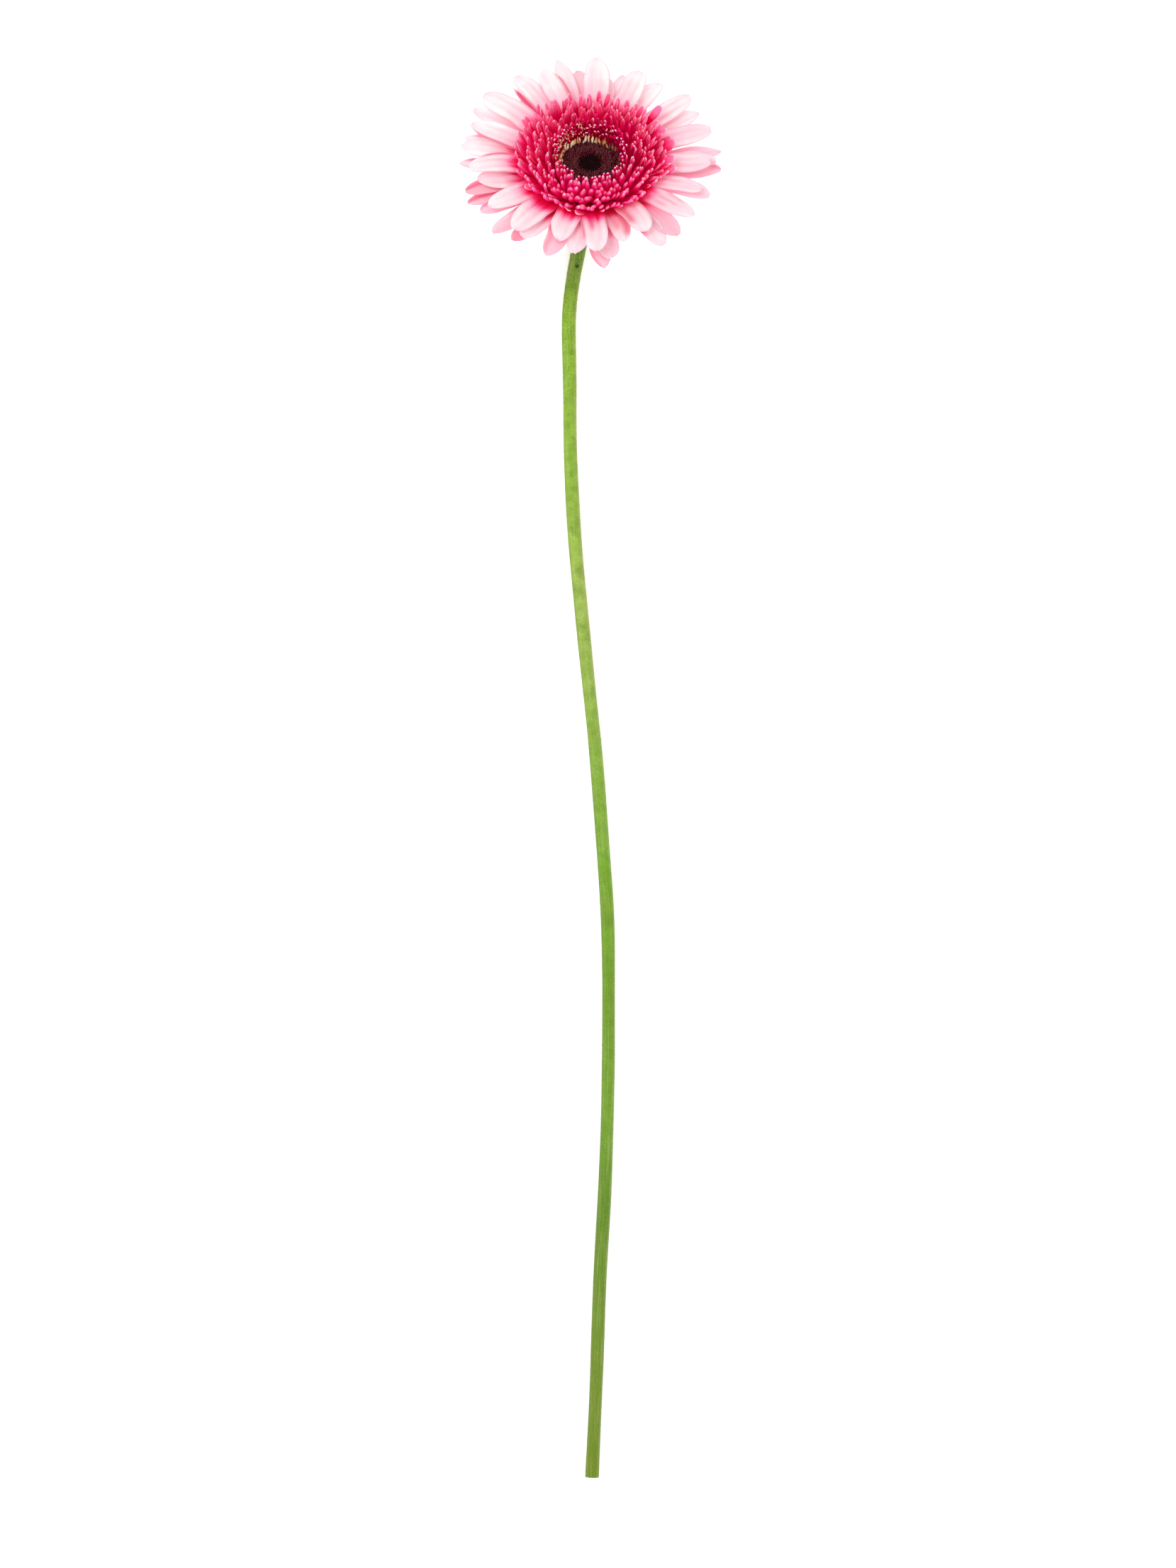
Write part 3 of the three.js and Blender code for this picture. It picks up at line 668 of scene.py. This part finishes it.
# The two edges of the gutter are painted paler: a painted highlight where they catch the light.
edge = add_node(tree, "MapRange", {"Value": how_edge_lit, "From Min": 0.8, "To Max": 0.85})
edge_lit = add_node(tree, "Mix", {0: edge, 6: pink, 7: "#fbb8ce"}, data_type="RGBA")
# Light soaks through the crowded blades, and a painted crimson glow, darker where they are deep inside,
# lifts the shaded gaps between them: painted light.
painted_glow = add_node(tree, "Mix", {0: deep_inside, 6: "#ff0050", 7: "#9c0028"}, data_type="RGBA")
ridge_place = add_node(tree, "VectorMath", {0: strap, 1: (3.0, 2.0, 0.0)}, operation="MULTIPLY")
ridge = add_node(tree, "TexNoise", {"Vector": ridge_place, "Scale": 1.0, "Detail": 2.0})
ridges = add_node(tree, "Bump", {"Height": ridge, "Strength": 0.25, "Distance": 0.0002})
feed(shader, {"Base Color": edge_lit, "Normal": ridges, "Specular IOR Level": 0.0,
              "Subsurface Weight": 0.4, "Subsurface Radius": (1.0, 0.2, 0.3), "Subsurface Scale": 0.0015,
              "Emission Color": painted_glow, "Emission Strength": 0.18})

# Section corners: across and through in half widths, the hollow inner face first, then the back.
GUTTER = np.array([[-1.0, 0.4], [0.0, 0.0], [1.0, 0.4], [0.8, -0.42], [0.0, -0.75], [-0.8, -0.42]])
INSIDE = np.array([1.0, 1.0, 1.0, 0.0, 0.0, 0.0])
GUTTER_EDGES = np.abs(GUTTER[:, 0]) == 1
STATIONS = np.array([0, 0.25, 0.45, 0.6, 0.73, 0.84, 0.92, 0.97, 1.0])
HOOD = np.array([0.6, 0.8, 0.95, 1.0, 0.98, 0.86, 0.62, 0.36, 0.1])


def risen(root, tip_radius, tip_level, lean, t, bow=9.5):
    """Meridian of an upright floret, as radius and level: a quadratic curve from the root to the tip
    whose middle point lies the bow below the tip along the lean, so it bows out low and stands up."""
    knee_radius = tip_radius - bow * np.sin(lean)
    knee_level = tip_level - bow * np.cos(lean)
    shares = (1 - t) ** 2, 2 * t * (1 - t), t ** 2
    radius = root[0] * shares[0] + knee_radius * shares[1] + tip_radius * shares[2]
    return radius, root[1] * shares[0] + knee_level * shares[1] + tip_level * shares[2]


def on_straps(count, paled):
    """What the collar's skin reads: the place across plus seven for each floret, how far it has paled,
    and one on the inner face."""
    return layered(GUTTER[:, 0] + 7.0 * np.arange(count)[:, None, None], paled, INSIDE)


# Each row: florets, half width, tip radius over the ring's, tip over its top, lean in degrees, share
# where it pales, shares of deep and of pink, share of the curve where it starts and how far the foot is
# lifted. The feet of the outer two rows start above the claws of the ray petals.
COLLAR = [
    (48, 1.15, 0.915, 1.1, 0.0, 0.86, 0.8, 0.0, 0.3, 0.0),
    (60, 1.3, 0.91, 0.2, 5.0, 0.86, 0.5, 0.0, 0.3, 0.0),
    (90, 1.3, 0.91, -0.3, 10.0, 0.84, 0.15, 0.0, 0.3, 0.0),
    (106, 1.3, 0.9, -0.7, 15.0, 0.8, 0.0, 0.3, 0.33, 3.5),
    (122, 1.25, 0.9, -0.7, 22.0, 0.75, 0.0, 0.65, 0.38, 6.0),
]
for row, own_row in enumerate(COLLAR):
    count, half, inset, rise_over, lean_out, pale_from, deep_share, pink_share, start, foot_up = own_row
    chance = np.random.default_rng(60 + row)
    name = f"inner_petals_row_{row + 1}"
    curve, low, high = row_curve(name)
    way = 2 * np.pi * (np.arange(count) + chance.uniform(-0.4, 0.4, count)) / count
    # In the outer three rows every second floret is shorter, so that their tips stand in two rings.
    short = (np.arange(count) % 2)[:, None] * (row > 1)
    reach = chance.uniform(0.92, 1.04, count)[:, None] - 0.1 * short
    t = (start + (1 - start) * STATIONS) * reach
    tip_radius = np.polyval(curve, high) * inset * (0.98 + 0.05 * np.cos(way) ** 2)
    tip_radius = (tip_radius + chance.normal(0, 0.5, count))[:, None]
    own_lean = np.radians(lean_out + chance.normal(0, 8, count))[:, None]
    root = (np.polyval(curve, low), low + foot_up)
    radius, level = risen(root, tip_radius, high + rise_over, own_lean, t)
    curl = chance.uniform(0.2, 1.0, count)[:, None]
    radius = radius - curl * np.clip((STATIONS - 0.6) / 0.4, 0, 1) ** 2
    # Those on the stalk's side are plumper, and in the inner rows those opposite it too. The outer rows
    # taper to narrower tips.
    plump = 0.74 + 0.24 * ease(-np.sin(way), 0.2, 0.9)
    plump = (plump + (0.24 if row < 2 else 0.1) * ease(np.sin(way), 0.2, 0.9))[:, None]
    width = half * plump * chance.uniform(0.75, 1.12, count)[:, None] * HOOD ** (1 + 0.15 * row)
    bend = chance.normal(0, 0.06, count)[:, None] * STATIONS
    roll = chance.normal(0, 0.4, count)[:, None]
    body = scales(radius, level, way[:, None], width, GUTTER * [1.0, 0.8], sway=bend, roll=roll)
    points, faces = lofted(out_of_head(body))
    # The hollows that face the right, towards the light, are painted paler and less deep: painted light.
    fresh = ease(-np.cos(way), 0.2, 1.0)[:, None, None]
    # Each floret pales towards its tip: partly its own pale tip, partly a painted highlight.
    paled = np.interp(STATIONS, [0, pale_from, 1], [0, 0.8, 1])[:, None]
    paled = paled + 0.36 * fresh * np.sin(np.pi * np.clip(STATIONS / pale_from, 0, 1))[:, None]
    # Few tips carry the pale painted highlight in the inner three rows away from the stalk, and in the outer
    # four beside it, and there the edges carry less painted light.
    far_side = towards(way, 78, 0.5, 0.9) * (row < 3)
    stalk_side = 0.6 * ease(-np.sin(way), 0.3, 0.8) * (row > 0)
    no_tip_highlight = ((chance.random(count) < 0.8) * (far_side + stalk_side))[:, None, None]
    kept = on_straps(count, np.minimum(paled, 1 - 0.16 * no_tip_highlight))
    own_deep = np.clip(deep_share + chance.uniform(-0.15, 0.15, count), 0, 1)[:, None, None]
    # Painted light: the hollows that face the right are less deep.
    own_deep = own_deep * (1 - 0.6 * fresh)
    own_pink = np.clip(pink_share + chance.uniform(-0.15, 0.15, count), 0, 1)[:, None, None]
    # On the left, away from the stalk, the outer four rows are painted a paler pink where the key light
    # falls: painted light.
    painted_key_light = towards(way, 150, 0.5, 0.95)[:, None, None] * (row > 0)
    own_pink = np.minimum(own_pink + 0.3 * painted_key_light, 1)
    own_pink = own_pink * (0.15 + 0.85 * INSIDE) * ease(STATIONS, 0.55, 0.9)[:, None]
    fade = (1 - ease(STATIONS, 0.86, 0.98))[:, None]
    # The painted highlight on the gutter edges grows towards the tip, and is stronger in the outer rows.
    painted_edge_light = GUTTER_EDGES * (0.75 + 0.06 * row) * ease(STATIONS, 0.45, 0.8)[:, None]
    painted_edge_light = painted_edge_light * (1 - 0.7 * no_tip_highlight)
    tones = layered(own_deep * fade, own_pink, 0.5 + 0.5 * painted_edge_light)
    piece = make_piece(f"collar_row_{row + 1}", points, faces, collar_skin, strap=kept, tone=tones)
    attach(piece, "root")
    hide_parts(name)

# A loose outermost ring: longer flat straps that stand out over the ray petals, broadest on the right.
# Direction in degrees, radius and level of the tip, and half width of the nine that stand out.
LONGEST = np.array([[42, 38, 8, 1.9], [25, 34, 7.5, 1.6], [14, 36, 7, 2.0], [0, 35.5, 6, 2.3],
                    [-7, 36.5, 5, 2.2], [-15, 34, 5, 1.8], [267, 31.5, 2.5, 2.1], [249, 31, 3, 1.8],
                    [214, 32.5, 3, 2.0]])
chance = np.random.default_rng(66)
STRAPS = 27
way = np.radians(np.linspace(-12, 150, STRAPS) + chance.uniform(-2.5, 2.5, STRAPS))
tip_radius = 33.0 + 1.2 * np.cos(way) ** 2 + chance.uniform(-1.2, 2.2, STRAPS)
tip_level = 4.6 - 0.4 * (tip_radius - 33) + chance.uniform(-0.8, 0.8, STRAPS)
half = chance.uniform(0.85, 1.2, STRAPS)
way = np.concatenate([way, np.radians(LONGEST[:, 0])])[:, None]
tip_radius = np.concatenate([tip_radius, LONGEST[:, 1]])[:, None]
tip_level = np.concatenate([tip_level, LONGEST[:, 2]])[:, None]
half = np.concatenate([half, LONGEST[:, 3]])[:, None]
count = len(way)
own_lean = np.radians(chance.uniform(36, 54, count))[:, None]
root = (np.polyval(curve, low) + 1, low + 6)
radius, level = risen(root, tip_radius, tip_level, own_lean, 0.58 + 0.42 * STATIONS, bow=11.0)
bend = chance.normal(0, 0.04, count)[:, None] * STATIONS
roll = chance.normal(0, 0.3, count)[:, None]
body = scales(radius, level, way, half * HOOD ** 1.15, GUTTER * [1.0, 0.45], sway=bend, roll=roll)
points, faces = lofted(out_of_head(body))
kept = on_straps(count, np.interp(STATIONS, [0, 0.5, 0.9, 1], [0.4, 0.8, 0.93, 1])[:, None])
# The one that reaches furthest, the first of the nine, is the pinkest.
own_pink = chance.uniform(0.3, 0.8, count)
own_pink[STRAPS] = 1.4
own_pink = own_pink[:, None, None] * (ease(STATIONS, 0.3, 0.7) - ease(STATIONS, 0.85, 1.0))[:, None]
# Their gutter edges carry the same painted highlight.
painted_edge_light = GUTTER_EDGES * ease(STATIONS, 0.4, 0.8)[:, None]
tones = layered(0.0, np.minimum(own_pink, 1), 0.5 + 0.5 * painted_edge_light)
straps = make_piece("collar_long_straps", points, faces, collar_skin, strap=kept, tone=tones)
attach(straps, "root")
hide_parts("inner_petals_row_5")


# ---- Eye -----------------------------------------------------------------------------------------
# The disc: tube florets packed on a spiral, open ones outside with cream and golden anther columns,
# maroon buds with tan bristles inside them, and nearly black unopened buds in a shallow dip.

floret_skin, tree, shader = new_material("gerbera disc floret, fresh and waxy", 0.6)
tube = add_node(tree, "Attribute", giving="Vector", attribute_name="tube")
how_black, up_tube, how_crimson = add_node(tree, "SeparateXYZ", {"Vector": tube}, giving=slice(3))
maroon = add_node(tree, "ValToRGB", {"Fac": up_tube}, stops=[
    (0.0, "#2c050d"), (1.0, "#80263a"), (0.6, "#5a0c20")])
crimson = add_node(tree, "ValToRGB", {"Fac": up_tube}, stops=[
    (0.0, "#3a0010"), (1.0, "#fbdfe4"), (0.6, "#8d0526"), (0.85, "#b51235"), (0.95, "#ee8aa2")])
black = add_node(tree, "ValToRGB", {"Fac": up_tube}, stops=[(0.0, "#0c0204"), (1.0, "#2c0a10")])
opened = add_node(tree, "Mix", {0: how_crimson, 6: maroon, 7: crimson}, data_type="RGBA")
closed = add_node(tree, "Mix", {0: how_black, 6: opened, 7: black}, data_type="RGBA")
where = add_node(tree, "TexCoord", giving="Object")
speck = add_node(tree, "TexNoise", {"Vector": where, "Scale": 1800.0, "Detail": 1.0})
specked = add_node(tree, "Bump", {"Height": speck, "Strength": 0.3, "Distance": 0.0001})
feed(shader, {"Base Color": closed, "Normal": specked, "Specular IOR Level": 0.1})

GOLDEN_ANGLE = np.radians(137.50776)


def on_spiral(first, last, spacing):
    """Places on a sunflower spiral: the nth is at spacing times root n, turned n golden angles."""
    n = np.arange(int((first / spacing) ** 2), int((last / spacing) ** 2))
    return spacing * np.sqrt(n), n * GOLDEN_ANGLE


def spindles(foot, way, length, profile):
    """Six-sided bodies of revolution: each ring is the foot plus the way times its share of the
    length, with the profile's radius along two sides at right angles to the way."""
    side = unit(np.cross(way, [0.2, 0.93, 0.3]))
    corner = spokes(side, np.cross(way, side), np.radians(np.arange(0, 360, 60)))
    lines = foot[:, None] + way[:, None] * (length[:, None] * profile[:, 0])[..., None]
    return lines[:, :, None] + corner[:, None] * profile[:, 1][:, None, None]


def disc_level(radius):
    """Level of the disc's surface: flat outside, with a dip of 1.1 mm that eases in inside 6.5 mm."""
    return -2.1 - 1.1 * (1 - ease(radius, 1.5, 6.5))


BED_SIDES = 72
BED_FOOT = -11.0


def bed(inner, outer):
    """A solid ring of revolution under the florets: its section runs from the inner wall over the
    disc's surface to the outer wall, and back under at the CAD ring's foot."""
    angle = np.linspace(0, 2 * np.pi, BED_SIDES, endpoint=False)[:, None]
    between = (inner + outer) / 2
    radius = np.array([inner, inner, between, outer, outer, between])
    level = np.where([False, True, True, True, False, False], disc_level(radius), BED_FOOT)
    ring = round_axis(radius, angle, level)
    number = np.arange(BED_SIDES * len(radius)).reshape(BED_SIDES, -1)
    ahead = np.roll(number, -1, axis=0)
    beside = np.roll(number, -1, axis=1)
    faces = np.stack([number, beside, np.roll(ahead, -1, axis=1), ahead], axis=-1).reshape(-1, 4)
    return ring.reshape(-1, 3), faces


BUD = np.array([[-0.4, 0.3], [0.1, 0.42], [0.5, 0.46], [0.82, 0.34], [1.0, 0.1]])
EYE_ROWS = [  # CAD ring, from, to, spacing, tallest, first wall
    ("disc_centre_buds", 0.5, 5.8, 0.42, 0.9, 0.3),
    ("disc_florets_budding", 5.8, 9.1, 0.45, 1.5, 5.8),
    ("disc_florets_open", 9.1, 12.4, 0.5, 2.0, 9.1),
]
for row, (name, first, last, spacing, tall, wall) in enumerate(EYE_ROWS):
    chance = np.random.default_rng(80 + row)
    radius, turn = on_spiral(first, last, spacing)
    count = len(radius)
    foot = round_axis(radius, turn, disc_level(radius) - 0.2)
    way = layered(0.25 * foot[:, 0] / 12, 0.25 * foot[:, 1] / 12, 1.0)
    way = unit(way + chance.normal(0, 0.12, (count, 3)))
    length = tall * chance.uniform(0.7, 1.15, count)
    body = spindles(foot, way, length, BUD * [1.0, 0.95 * spacing / 0.5])
    points, faces = lofted(body)
    blackness = (1 - ease(radius + chance.normal(0, 0.4, count), 4.0, 5.6))[:, None, None]
    redness = ease(radius + chance.normal(0, 0.5, count), 11.6, 12.8)[:, None, None]
    kept = layered(blackness, BUD[:, :1], redness * np.ones(body.shape[:3])).reshape(-1, 3)
    bed_points, bed_faces = bed(wall, last)
    bed_kept = np.tile([1.0 - 0.5 * row, 0.1, 0.0], (len(bed_points), 1))
    faces = np.concatenate([faces, bed_faces + len(points)])
    points = out_of_head(np.concatenate([points, bed_points]))
    kept = np.concatenate([kept, bed_kept])
    piece = make_piece(name + "_florets", points, faces, floret_skin, tube=kept)
    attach(piece, "root")
    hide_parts(name)

# The outermost open florets stand upright with short lips, dark inside, with small whitish hoods that
# bend inwards. One ring goes all round, and two taller ones stand behind it away from the stalk. Each
# row: how many, first and last direction in degrees, radius, height, half width, bend of the hood.
LIP_RINGS = np.array([[42, 0, 360, 12.3, 7.2, 1.0, 0.0], [25, 0, 190, 13.3, 9.0, 0.95, 0.4],
                      [21, 15, 178, 14.3, 10.4, 1.05, 0.4]])
chance = np.random.default_rng(85)
ring = np.repeat([0, 1, 2], LIP_RINGS[:, 0].astype(int))
LIPS = len(ring)
in_ring, first, last, ring_radius, height, half, hood_bend = LIP_RINGS[ring].T
place_in_ring = np.concatenate([np.arange(n) for n in LIP_RINGS[:, 0]])
way = np.radians(first + (last - first) * (place_in_ring + chance.uniform(-0.35, 0.35, LIPS)) / in_ring)
level = -3.0 + (height + chance.uniform(-0.8, 0.8, LIPS) * (1 + hood_bend))[:, None] * STATIONS
radius = (ring_radius + 1.1 * np.cos(way) ** 2 + chance.uniform(-0.4, 0.5, LIPS))[:, None] + 0.3 * STATIONS
radius = radius - chance.uniform(0.0, 0.7, LIPS)[:, None] * STATIONS ** 3
radius = radius - hood_bend[:, None] * np.clip((STATIONS - 0.84) / 0.16, 0, 1) ** 1.5
width = (half * chance.uniform(0.85, 1.15, LIPS))[:, None] * HOOD
roll = chance.normal(0, 0.4, LIPS)[:, None]
body = scales(radius, level, way[:, None], width, GUTTER * [1.0, 0.8], roll=roll)
points, faces = lofted(out_of_head(body))
# Away from the stalk four in ten of the hoods stay red.
own_hood = np.where((chance.random(LIPS) < 0.6) | (np.sin(way) < -0.1), 1.0, 0.7)[:, None, None]
kept = on_straps(LIPS, np.interp(STATIONS, [0, 0.87, 0.94, 1], [0.1, 0.4, 0.9, 1])[:, None] * own_hood)
fade = (1 - ease(STATIONS, 0.8, 0.97))[:, None]
tones = layered(0.95 * fade, np.zeros(body.shape[:3]), 0.5)
lips = make_piece("floret_lips", points, faces, collar_skin, strap=kept, tone=tones)
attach(lips, "root")
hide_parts("disc_florets_open")

# Anther columns: slender tubes that stand out of the open florets, cream going to gold and brown.
anther_skin, tree, shader = new_material("gerbera anther column, dusted with pollen", 0.6)
pollen = add_node(tree, "Attribute", giving="Vector", attribute_name="pollen")
how_gold = add_node(tree, "SeparateXYZ", {"Vector": pollen})
dust = add_node(tree, "ValToRGB", {"Fac": how_gold}, stops=[
    (0.0, "#5a1424"), (1.0, "#fff2dc"), (0.3, "#8a4448"), (0.5, "#cf8650"), (0.7, "#f6c078")])
# The columns and specks glow faintly in their own colour: painted light.
feed(shader, {"Base Color": dust, "Emission Color": dust, "Emission Strength": 0.2})
chance = np.random.default_rng(90)
COLUMNS = 96
COLUMN = np.array([[0.0, 0.3], [0.45, 0.36], [0.8, 0.3], [0.95, 0.2], [1.0, 0.08]])
turn = 2 * np.pi * (np.arange(COLUMNS) + chance.uniform(-0.4, 0.4, COLUMNS)) / COLUMNS
radius = chance.uniform(10.3, 11.4, COLUMNS) + 1.4 * np.cos(turn) ** 2
foot = round_axis(radius, turn, -1.6)
way = unit(round_axis(-0.05, turn, 1.0) + chance.normal(0, 0.13, (COLUMNS, 3)))
body = spindles(foot, way, chance.uniform(3.0, 5.0, COLUMNS), COLUMN)
gold = 0.15 + 0.7 * towards(turn, 130, -0.5, 0.9) + chance.uniform(-0.35, 0.3, COLUMNS)
kept = layered(gold[:, None, None] + 0.1 - 0.35 * COLUMN[:, :1] ** 2, 0.0, np.zeros(body.shape[:3]))
anthers = make_piece("anther_columns", *lofted(out_of_head(body)), anther_skin, pollen=kept)
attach(anthers, "root")
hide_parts("disc_florets_open")

# Specks of pollen: split anther tips, gold to orange, caught between the lips away from the stalk.
chance = np.random.default_rng(93)
SPECKS = 120
SPECK = np.array([[0.0, 0.12], [0.3, 0.22], [0.7, 0.22], [1.0, 0.08]])
turn = np.radians(chance.normal(132, 42, SPECKS))
beyond = chance.uniform(0, 3.4, SPECKS)
foot = round_axis(11.4 + beyond + 0.9 * np.cos(turn) ** 2, turn, chance.uniform(0.4, 3.8, SPECKS) + beyond)
way = unit(np.array([0.0, 0.0, 1.0]) + chance.normal(0, 0.5, (SPECKS, 3)))
body = spindles(foot, way, chance.uniform(0.6, 1.5, SPECKS), SPECK)
gold = (0.35 + 0.55 * chance.random(SPECKS) ** 2)[:, None, None]
kept = layered(gold, 0.0, np.zeros(body.shape[:3]))
specks = make_piece("pollen_specks", *lofted(out_of_head(body)), anther_skin, pollen=kept)
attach(specks, "root")
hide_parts("disc_florets_open")

# Bristles: the tan hairs of the seed crowns that show between the buds.
bristle_skin = hair_material("gerbera pappus bristle, dry straw", 0.7, 0.0, "#4a1020", "#c08a80")
BRISTLES = 900
BRISTLE_THICK = 0.11
radius = 10.6 * np.sqrt(chance.uniform(0.22, 1, BRISTLES))
turn = chance.uniform(0, 2 * np.pi, BRISTLES)
foot = round_axis(radius, turn, disc_level(radius))
way = unit(layered(foot[:, 0] * 0.02, foot[:, 1] * 0.02, 1.0) + chance.normal(0, 0.3, (BRISTLES, 3)))
rings, shade = hairs(foot, way, chance.uniform(1.2, 2.1, BRISTLES), BRISTLE_THICK)
bristles = make_piece("disc_bristles", *lofted(out_of_head(rings)), bristle_skin, shade=shade)
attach(bristles, "root")
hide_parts("disc_florets_budding")


# ---- Table, light and camera ---------------------------------------------------------------------
# A plain matt white table under soft studio light: a large window of light high on the left, a fill
# light at the cut end, and an even white surround that keeps the shadows faint.

TABLE_HALF = 9000.0
WHITE = "#ffffff"
table_paint, _, shader = new_material("matt white table paint", 0.8)
feed(shader, {"Base Color": "#fbfbfb", "Specular IOR Level": 0.0, "Emission Color": WHITE,
              "Emission Strength": 0.4})
table_points = TABLE_HALF * np.array([[-1, -1, 0], [1, -1, 0], [1, 1, 0], [-1, 1, 0]])
table = make_piece("table", table_points, np.array([[0, 1, 2, 3]]), table_paint)

surround = bpy.data.worlds.new("white surround")
bpy.context.scene.world = surround
surround.use_nodes = True
feed(surround.node_tree.nodes["Background"], {"Color": WHITE, "Strength": 0.72})

LIGHTS = [  # name, width, height, power, place, the point that it faces
    ("soft key light", 1.2, 1.2, 17.0, (-1.1, 0.9, 1.9), (0.0, 0.1, 0.0)),
    ("soft fill light", 1.6, 1.0, 16.0, (0.35, -1.7, 1.3), (0.0, 0.2, 0.0)),
]
for name, width, height, power, place, faced_point in LIGHTS:
    light = bpy.data.lights.new(name, "AREA")
    light.shape = "RECTANGLE"
    light.size = width
    light.size_y = height
    light.energy = power
    lamp = bpy.data.objects.new(name, light)
    bpy.context.scene.collection.objects.link(lamp)
    lamp.location = place
    lamp.rotation_mode = "QUATERNION"
    lamp.rotation_quaternion = (Vector(faced_point) - lamp.location).to_track_quat("-Z", "Y")
    lamp.visible_camera = False

# The camera looks straight down from beside the middle of the flower's box, in metres.
CAMERA_RIGHT = -0.0010
CAMERA_AHEAD = -0.0073
CAMERA_HEIGHT = 2.5
bpy.context.scene.view_settings.view_transform = "Standard"
low, high = cad_box
lens = bpy.data.cameras.new("camera over the table")
lens.sensor_width = 36.0
lens.lens = 135.6
lens.clip_end = 50.0
camera = bpy.data.objects.new("camera over the table", lens)
bpy.context.scene.collection.objects.link(camera)
camera.location = ((low.x + high.x) / 2 + CAMERA_RIGHT, (low.y + high.y) / 2 + CAMERA_AHEAD, CAMERA_HEIGHT)
bpy.context.scene.camera = camera
